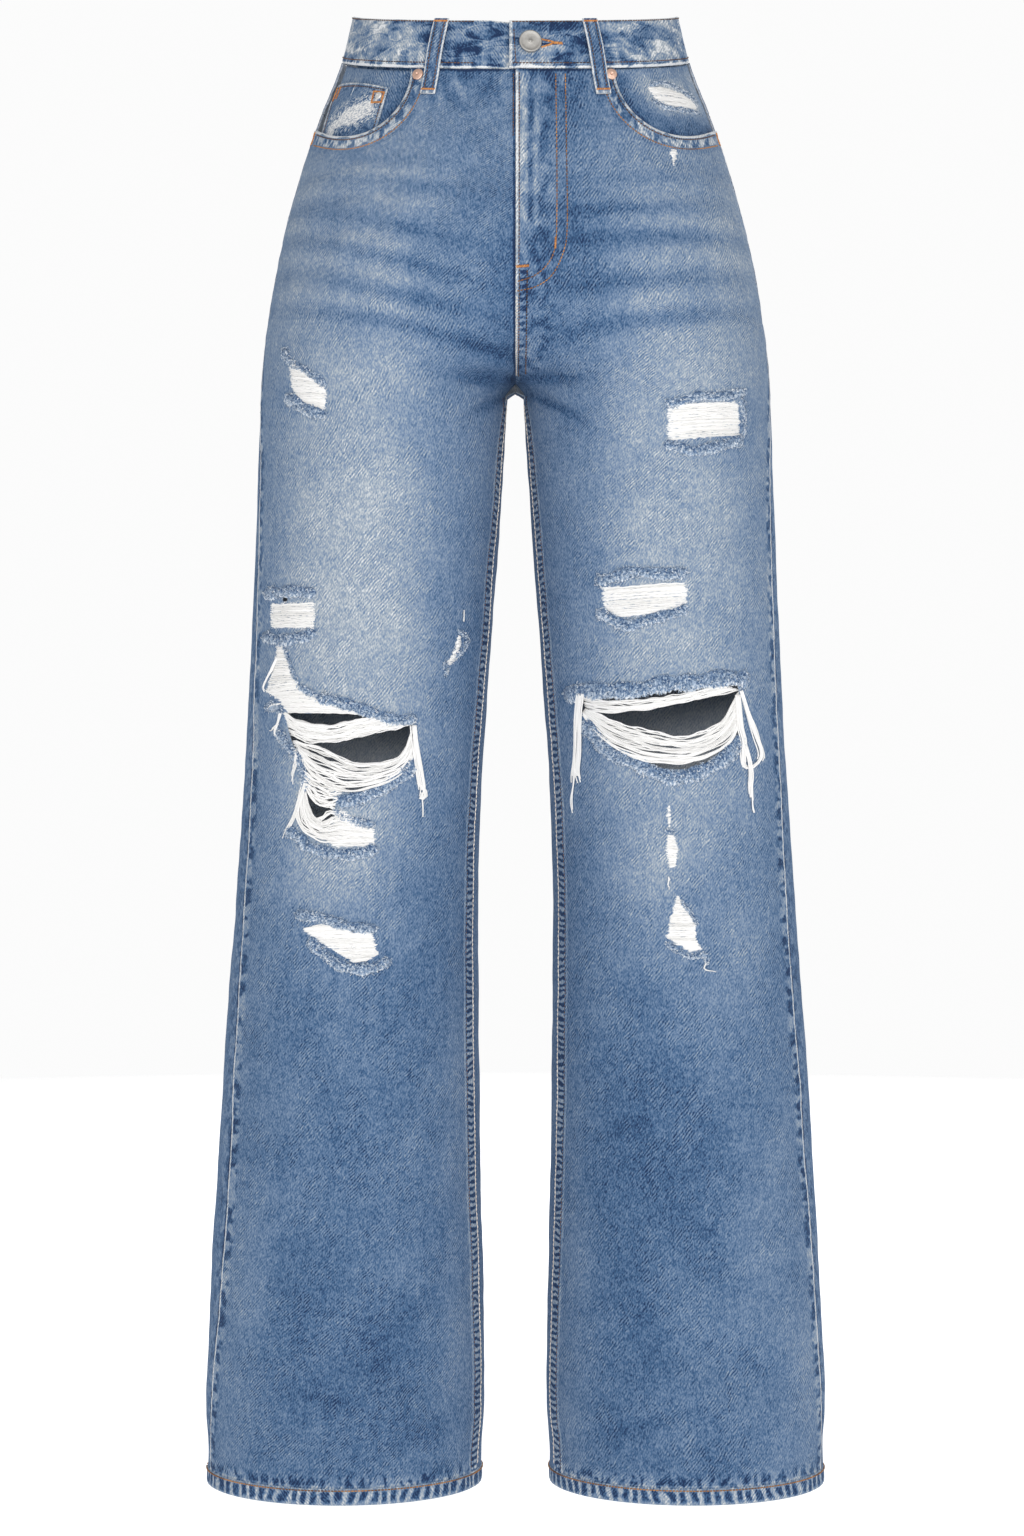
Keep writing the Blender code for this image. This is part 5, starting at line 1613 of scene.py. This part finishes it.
# Loose ends that hang from the rips' corners over the cloth: how many lie together, and how wide.
LOOSE = {
    "right": (
        (6, 1, ((-157, -543.6), (-157.1, -553.3), (-159.2, -560.9), (-159.6, -568.1))),
        (9, 1.7, ((-150, -564.7), (-153.9, -578.7), (-157.4, -588.9), (-162.2, -599), (-166.6, -607.1))),
        (5, 0.9, ((-169, -517), (-171.5, -526.3), (-173.3, -530.9), (-171.9, -534.9))),
        (3, 0.5, ((-170.5, -524.9), (-176.6, -529.9))),
        (4, 0.8, ((-169.9, -510.3), (-179.2, -511.8))),
        (2, 0.4, ((-175.2, -510.2), (-180.4, -515.4))),
        (5, 1.1, ((-172.3, -477.6), (-176, -486.1), (-182, -497.3), (-181.5, -501.3))),
        (2, 0.3, ((-37.8, -442.6), (-38.4, -449), (-37.9, -455))),
    ),
    "left": (
        (2, 0.3, ((90.9, -555), (91.3, -559), (90.9, -563.6))),
        (2, 0.3, ((109.4, -634), (109.1, -640), (109.4, -645))),
        (3, 0.5, ((135.9, -696), (134, -699.5), (137, -701), (143, -702))),
    ),
}  # fmt: skip
for side in SIDES.values():
    draw = np.random.default_rng(27)
    ends = Strands()
    for count, spread, curve in LOOSE[side]:
        spine = spaced(smooth_curve(curve, 1.0), 1.8)
        t = np.linspace(0, 1, len(spine))
        for _ in range(count):
            sway = draw.normal(0, 0.35, 2) * np.sin(np.outer(t, draw.uniform(5, 12, 2)) + draw.uniform(0, 6))
            line = spine + sway + (spread * draw.uniform(-1, 1) * (1 - 0.3 * t))[:, None] * (1, 0.2)
            line = line[: max(3, len(line) - int(draw.integers(0, 2 + len(line) // 6)))]
            path, _ = front_ground.lay(line, draw.uniform(0.4, 1.5) * np.sin(0.5 + 2.2 * t[: len(line)]))
            ends.add(path, 0.5 * np.linspace(1, 0.6, len(line)), draw.uniform(0.3, 1))
    ends.piece("loose_ends_" + side, thread_paint, "white_thread")

# ---------------------------------------------------------------- frayed edges
# The cut ends of the blue warp stand along each rip's upper and lower edge and have been washed
# into soft rolls, paler towards their tips, with painted highlights on their lobes and painted shade
# between them and at their foot.
FRAY_STEP, FRAY_RING = 0.62, 11


def sides_of(spine):
    """Unit steps along a level path, and unit steps across it."""
    run = unit(np.gradient(spine, axis=0))
    return run, np.stack((-run[:, 1], run[:, 0]), -1)


def fray_edge(strands, ground, width, curve, draw):
    """A low fleecy roll along the edge, scalloped below, with curled warp ends on it and under it."""
    spine = spaced(smooth_curve(curve, 1.0), FRAY_STEP)
    count = len(spine)
    run, down = sides_of(spine)
    down *= np.where(down[:, 1:] > 0, -1, 1)
    phase = np.cumsum(FRAY_STEP * 2 * math.pi / (3.1 + 1.2 * np.sin(np.cumsum(draw.normal(0, 0.5, count)))))
    from_end = np.minimum(np.arange(count), np.arange(count)[::-1])
    swell = 1 + 0.15 * np.sin(np.cumsum(draw.normal(0.2, 0.25, count)))
    swell = swell * np.clip(from_end / 5, 0.15, 1) ** 0.5
    over = np.cos(np.linspace(0, math.pi, FRAY_RING))
    up = (1 - over**4) ** 0.5
    scallop = (0.5 + 0.5 * np.cos(phase))[:, None] * np.clip(over, 0, 1)
    fluff = draw.normal(0, 1, (count, FRAY_RING))
    reach = width / 2 * swell
    half = reach[:, None] * (0.86 + 0.2 * scallop + 0.06 * fluff)
    high = min(0.18 * width, 1.5) * swell[:, None] * (0.8 + 0.4 * scallop + 0.2 * fluff)
    top, _ = ground.lay(spine[:, None] + down[:, None] * (half * over)[..., None], high * up - 0.15)
    low, _ = ground.lay(spine, -0.6)
    # Paler towards the lower edge for the pale fibre tips; paler on the raised scallops and fluff as painted
    # highlight, darker between them as painted shade.
    shade = np.clip(0.24 + 0.22 * over + 0.7 * scallop * over + 0.24 * fluff, 0, 1)
    rings = np.concatenate((top, low[:, None]), axis=1)
    # The roll's foot, where it meets the cloth, gets the darkest shade as painted shade.
    strands.tube(rings, np.concatenate((shade, np.zeros((count, 1))), axis=1))
    t = np.linspace(0, 1, 5)
    small = min(width / 6, 1)
    for k in range(count):
        across = draw.uniform(-0.9, 0.9)
        size = draw.uniform(0.45, 0.95) * small
        turn = draw.uniform(0, 6.3) + np.linspace(0, draw.uniform(2.5, 5.0), 5) * draw.choice((-1, 1))
        middle = spine[k] + down[k] * across * reach[k]
        curl = middle + size * (np.cos(turn)[:, None] * run[k] + np.sin(turn)[:, None] * down[k])
        path, _ = ground.lay(curl, high[k, 5] * 0.8 + 0.35 * np.sin(t * 3.1))
        strands.add(path, draw.uniform(0.3, 0.45), draw.uniform(0.15, 1))
        if draw.random() < 0.6:
            length = draw.uniform(0.5, 1.9) * small
            way = 1 if draw.random() < 0.7 else -1
            hook = draw.normal(0, 1.0) * t**1.6 + draw.normal(0, 0.3)
            start = spine[k] + down[k] * way * reach[k] * draw.uniform(0.6, 1.0)
            line = start + down[k] * (way * t * length)[:, None] + run[k] * hook[:, None]
            path, _ = ground.lay(line, draw.uniform(0.3, 0.8) * np.sin(0.6 + 2.3 * t))
            strands.add(path, draw.uniform(0.24, 0.38) * (1 - 0.4 * t), draw.uniform(0.5, 1))


FRAY_STOPS = (
    (0, srgb(58, 84, 120)), (0.3, srgb(106, 130, 160)), (0.6, srgb(162, 178, 198)), (1, srgb(228, 232, 236)),
)  # fmt: skip
fray_paint = Wire.start("frayed_warp_ends")
fuzz = Wire.noise(1.5, detail=2.0, curl=0.5).rise(0.36, 0.64)
Wire.finish(
    {"Roughness": 0.92, "Sheen Weight": 0.2, "Specular IOR Level": 0.15},
    Base_Color=(Wire.field("shade") * 0.7 + fuzz * 0.45 - 0.08).ramp(*FRAY_STOPS),
    Normal=Wire.bump(fuzz, 0.35),
)
for side in SIDES.values():
    draw = np.random.default_rng(17 if side == "right" else 18)
    frayed = Strands(4)
    if side == "left":
        for width, curve in FRAYS["facing"]:
            fray_edge(frayed, left_facing_ground, width, curve, draw)
    for width, curve in FRAYS[side]:
        fray_edge(frayed, front_ground, width, curve, draw)
    piece = frayed.piece("frayed_edges_" + side, fray_paint, "frayed_warp")
    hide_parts("knee_fringe_" + side)

# ---------------------------------------------------------------- hanging tassels
# Where a knee's weft has snapped, its loose ends hang from the hole's corners as tassels. Each is
# a few bundles: how many strands, how far they spread to each side, and the middle line.
TASSELS = {
    "tassel_left_inner": (
        (9, 2.4, ((47.6, -503), (46.4, -515), (46.1, -530), (45.4, -546), (44.6, -558), (46.5, -567))),
        (6, 1.5, ((46, -503), (45, -520), (44.6, -538), (43.4, -552), (41.8, -561), (41.6, -567))),
        (2, 0.4, ((43.5, -556), (42.6, -566), (41.6, -577), (41.9, -589))),
    ),
    "tassel_left_outer": (
        (8, 2.1, ((158.6, -504), (159.4, -515), (161, -528), (163.4, -538), (162.6, -547), (163.6, -555),
         (168, -557))),
        (6, 1.2, ((161.4, -501), (166.5, -519), (171.6, -534), (175.6, -545), (174.2, -551.5),
         (169.5, -556))),
        (2, 0.4, ((163, -507), (170.5, -524), (175, -537), (178.2, -549), (172.5, -553))),
        (6, 1.3, ((164.5, -540), (167.2, -552), (168.4, -562), (168, -570), (169.2, -580))),
        (2, 0.35, ((168.6, -572), (169.6, -582), (171.6, -591))),
    ),
    "tassel_right_inner": (
        (10, 2.3, ((-73.2, -526), (-72.2, -538), (-70.8, -550), (-69, -562), (-67.6, -571),
         (-68.4, -577))),
        (4, 0.9, ((-70.2, -567), (-66.2, -571.5), (-65.2, -576.5), (-68.6, -578.5), (-69.6, -575))),
        (1, 0.2, ((-67.6, -574), (-67, -583), (-66.8, -591.5))),
    ),
}  # fmt: skip
hanging = {"right": [], "left": []}
for node, bundles in TASSELS.items():
    draw = np.random.default_rng(len(bundles))
    threads = Strands()
    for count, spread, curve in bundles:
        spine = spaced(smooth_curve(curve, 1.0), 2.4)
        t = np.linspace(0, 1, len(spine))
        _, across = sides_of(spine)
        for k in range(count):
            offset = (k / max(count - 1, 1) - 0.5) * 2 * spread
            weave = draw.normal(0, 0.35) * np.sin(t * draw.uniform(3, 9) + draw.uniform(0, 6))
            line = spine + across * (offset * (0.6 + 0.4 * np.sin(2.9 * t + 0.1)) + weave)[:, None]
            line = line[: len(line) - int(draw.integers(0, 2 + len(line) // 10))]
            lift = 0.7 + draw.uniform(0.1, 1.3) * np.sin(np.linspace(0.1, 2.8, len(line)))
            path, _ = front_ground.lay(line, lift)
            threads.add(path, 0.62 * np.linspace(1, 0.8, len(line)), draw.uniform(0.4, 1))
    piece = threads.piece(node.replace("tassel_", "tassel_threads_"), thread_paint, "white_thread")
    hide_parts(node)
    hanging[node.split("_")[1]].append(piece)

for side, loose in hanging.items():
    loose += ["weft_yarns_" + side, "loose_ends_" + side, "frayed_edges_" + side]
    panel = front_panels[side]

# ---------------------------------------------------------------- sewing threads
# Topstitching in worn brown and cream thread, orange bar tacks, and the buttonhole's satin stitch.
STITCH_PITCH, STITCH_LENGTH, STITCH_RADIUS, TACK_STEP = 2.4, 1.7, 0.52, 0.55


def sew(strands, path, normals, draw, radius=STITCH_RADIUS, pitch=STITCH_PITCH, length=STITCH_LENGTH):
    """Short stitches along a path on the cloth, each dipping in at both ends."""
    lengths = arc_lengths(path)
    shade = 0.5
    for start in np.arange(draw.uniform(0, pitch), lengths[-1] - length, pitch):
        marks = start + np.array((0, 0.5, 1)) * length * draw.uniform(0.9, 1.08)
        out = places_at(marks, lengths, normals)
        shade = np.clip(shade + draw.normal(0, 0.16) - (shade - 0.5) * 0.15, 0, 1)
        line = places_at(marks, lengths, path) + out * np.array((-0.12, 0.25, -0.12))[:, None]
        strands.add(line, radius * np.array((0.8, 1.0, 0.8)), shade, out[1])


def on(ground, curve):
    """A smooth curve of places laid on the cloth."""
    return ground.lay(spaced(smooth_curve(curve, 2.0), 2.0))


def grid_row(grid, distance, lowest, highest):
    """The line at a distance from a panel's inner seam, between two drops."""
    rows = np.nonzero((grid.drop[:, 0] > lowest) & (grid.drop[:, 0] < highest))[0]
    line, out = (
        np.array([places_at(distance, grid.from_inner[r], values[r]) for r in rows])
        for values in (grid.points, grid.normals)
    )
    return line, out


def thread(name, low, high):
    """Twisted cotton thread, between two colours."""
    material = Wire.start(name)
    twist = Wire.noise(0.8)
    Wire.finish(
        {"Roughness": 0.75, "Sheen Weight": 0.1, "Specular IOR Level": 0.3},
        Base_Color=(Wire.field("shade") * 0.8 + twist * 0.25).tint(low, high),
        Normal=Wire.bump(twist, 0.1),
    )
    return material


brown_thread = thread("brown_topstitch", srgb(38, 30, 30), srgb(116, 84, 66))
gold_thread = thread("gold_topstitch", srgb(88, 58, 40), srgb(194, 138, 82))
cream_thread = thread("cream_topstitch", srgb(204, 192, 180), srgb(240, 230, 218))
orange_thread = thread("orange_bar_tack", srgb(164, 98, 50), srgb(222, 156, 88))
draw = np.random.default_rng(3)

brown, gold, cream, orange = Strands(4), Strands(4), Strands(4), Strands(4)
for hand, side in SIDES.items():
    grid = front_grids[side]
    sew(cream, *grid_row(grid, 1.6, FORK + 8, 1070), draw, radius=0.55, pitch=3.2, length=3.0)
    sew(brown, *grid_row(grid, 12.4, FORK + 4, 1070), draw, radius=0.34)
    z_top = -BAND_HEIGHT - WAIST_TILT["front"] * 92 - 1.5
    for distance, strands in ((2.6, brown), (10.0, gold)):
        edge = mouth_outline(hand, distance)
        x, z = np.abs(edge[:, 0]), edge[:, 1]
        shown = (x < along(BODY, SIDE, -z) - 4) & (z < z_top + 0.12 * (x - 60))
        start = np.argmax(shown & ~np.roll(shown, 1))
        line = np.roll(edge, -start, axis=0)[: shown.sum()]
        sew(strands, *front_ground.lay(spaced(line, 2.0)), draw, radius=0.54)
# The fly's two curved rows.
for line in (
    ((35.2, -62), (35.9, -120), (36.3, -173.9), (33.8, -192.5), (25.7, -208.8), (14.5, -216.5),
     (0.5, -219.5)),
    ((28.4, -62), (29, -120), (29, -165), (28, -188.3), (22.9, -200.8), (13, -209.3), (0.5, -213.2)),
):
    sew(gold, *on(front_ground, line), draw, radius=0.56)
# Straight rows beside the fly's edge, and beside the seam below it.
for strands, line, radius in (
    (brown, ((2.6, -62), (2.5, -120), (2.4, -180), (2.2, -202)), 0.5),
    (brown, ((-1.6, -62), (-1.8, -110)), STITCH_RADIUS),
    (brown, ((8.2, -204), (7.8, -240), (7.4, -272)), 0.6),
    (cream, ((1.0, -222), (0.8, -250), (0.6, -272)), STITCH_RADIUS),
    (brown, ((2.6, -204), (2.4, -240), (2.2, -272)), STITCH_RADIUS),
):
    sew(strands, *on(front_ground, line), draw, radius=radius)

LAP_STITCHED = 18  # the first column past the tucked end
for distance in (1.9, BAND_HEIGHT - 2.7):
    line = band_face[:, np.abs(band_drops - distance).argmin()]
    out = unit(np.cross((0, 0, 1), np.gradient(line, axis=0)))
    sew(brown, line[LAP_STITCHED:], out[LAP_STITCHED:], draw)
sew(brown, *band_ground.lay(spaced(np.array(((-1.4, -29.5), (0.2, -57.0))), 2.0)), draw)

for hand in SIDES:
    for face in ("front", "back"):
        turn, drop = np.linspace(0, 2, 200), np.full(200, HEM_TOP + 1.8)
        sew(gold, skin(face, hand, drop, turn, 0.8), normal_at(face, hand, drop, turn), draw, radius=0.62)

for name in LOOP_PLACES:
    share = np.linspace(0.04, 0.94, 30)
    for across in (-0.55, 0.55):
        line = loop_line(name, share, across, -0.2)
        out = loop_line(name, share, across, 0.8) - line
        sew(brown, line, out, draw, radius=0.54)
    for share in (0.05, 0.945):
        for k in range(17):
            lean = 0.012 if k % 2 else -0.012
            across = -0.85 + 0.106 * k
            ends = [loop_line(name, share + lean * s, across + 0.053 * s, 0.15) for s in (-1, 0, 1)]
            orange.add(np.array(ends), 0.42, draw.uniform(0, 1))

for hand, side in SIDES.items():
    grid = back_grids[side]
    for distance in (1.8, 8.0):
        sew(gold, *grid_row(grid, distance, YOKE_CENTRE + 6, FORK - 3), draw)
        place = np.linspace(0.04, 1.98, 80)
        drop = yoke_edge(place) + distance
        sew(gold, skin("back", hand, drop, place, 0.5), normal_at("back", hand, drop, place), draw)
    sew(gold, *grid_row(yoke_grids[side], 1.8, BAND_HEIGHT + 1, YOKE_CENTRE - 1), draw)
    for distance in (1.8, 7.5):
        inset = distance / (BACK_WIDTH / 2)
        down = np.linspace(0, 1 - distance / (BACK_HEIGHT + 12), 40)
        foot = np.linspace(-1 + inset, 1 - inset, 42)
        edges = (
            back_pocket_places(hand, down, -1 + inset),
            back_pocket_places(hand, down[-1], foot),
            back_pocket_places(hand, down[::-1], 1 - inset),
        )
        sew(gold, *back_ground.lay(spaced(np.concatenate(edges), 2.0), BACK_LIFT), draw)
    for distance in (2.0, 18.0):
        line = back_pocket_places(hand, distance / BACK_HEIGHT, np.linspace(-0.97, 0.97, 40))
        sew(gold, *back_ground.lay(line, BACK_LIFT), draw)


def bar_tack(line, ground, width=1.8):
    """Close zigzag stitches along a short line."""
    spine = spaced(np.array(line, float), TACK_STEP)
    run, across = sides_of(spine)
    for k, middle in enumerate(spine):
        lean = run[k] * TACK_STEP * (0.4 if k % 2 else -0.4)
        over = across[k] * width / 2
        path, out = ground.lay((middle - over - lean, middle, middle + over + lean), 0.2)
        path = path + out * np.array((-0.2, 0.3, -0.2))[:, None]
        orange.add(path, 0.36, draw.uniform(0, 1), out[1])


bar_tack(((0.6, -203), (9.2, -202.3)), front_ground)
bar_tack(((28.2, -182.5), (27.9, -190)), front_ground, width=1.2)
bar_tack(((18.6, -38.4), (25.5, -40.0), (26.5, -40.4)), band_ground, width=1.3)
bar_tack(((18.6, -44.2), (24, -42.4), (26.5, -41.2)), band_ground, width=1.3)
bar_tack(((26.2, -40.8), (33.0, -41.2)), band_ground, width=2.0)
corners = ((-101.8, -70.2), (-94.2, -72.2), (-96.2, -79.6), (-103.4, -78.6), (-101.8, -70.2))
outer_tacks = (((-131.0, -56.0), (-134.2, -66.0)), ((-128.2, -57.5), (-131.4, -66.0)))
for line in (*zip(corners, corners[1:]), *outer_tacks):
    bar_tack(line, coin_ground, width=1.3)
for hand in (-1, 1):
    bar_tack(((hand * 148.0, -89.0), (hand * 150.6, -97.5)), front_ground, width=2.0)
toward_front = np.broadcast_to((0, -1.0, 0), (COIN_ROWS, 3))
for line in (coin_grid[2:40, 2], coin_grid[2:40, 41], coin_grid[2, 2:42]):
    sew(brown, line, toward_front[: len(line)], draw)

for strands, name, material in (
    (brown, "brown_stitches", brown_thread),
    (gold, "gold_stitches", gold_thread),
    (cream, "cream_stitches", cream_thread),
    (orange, "orange_tacks", orange_thread),
):
    strands.piece(name, material, "denim")
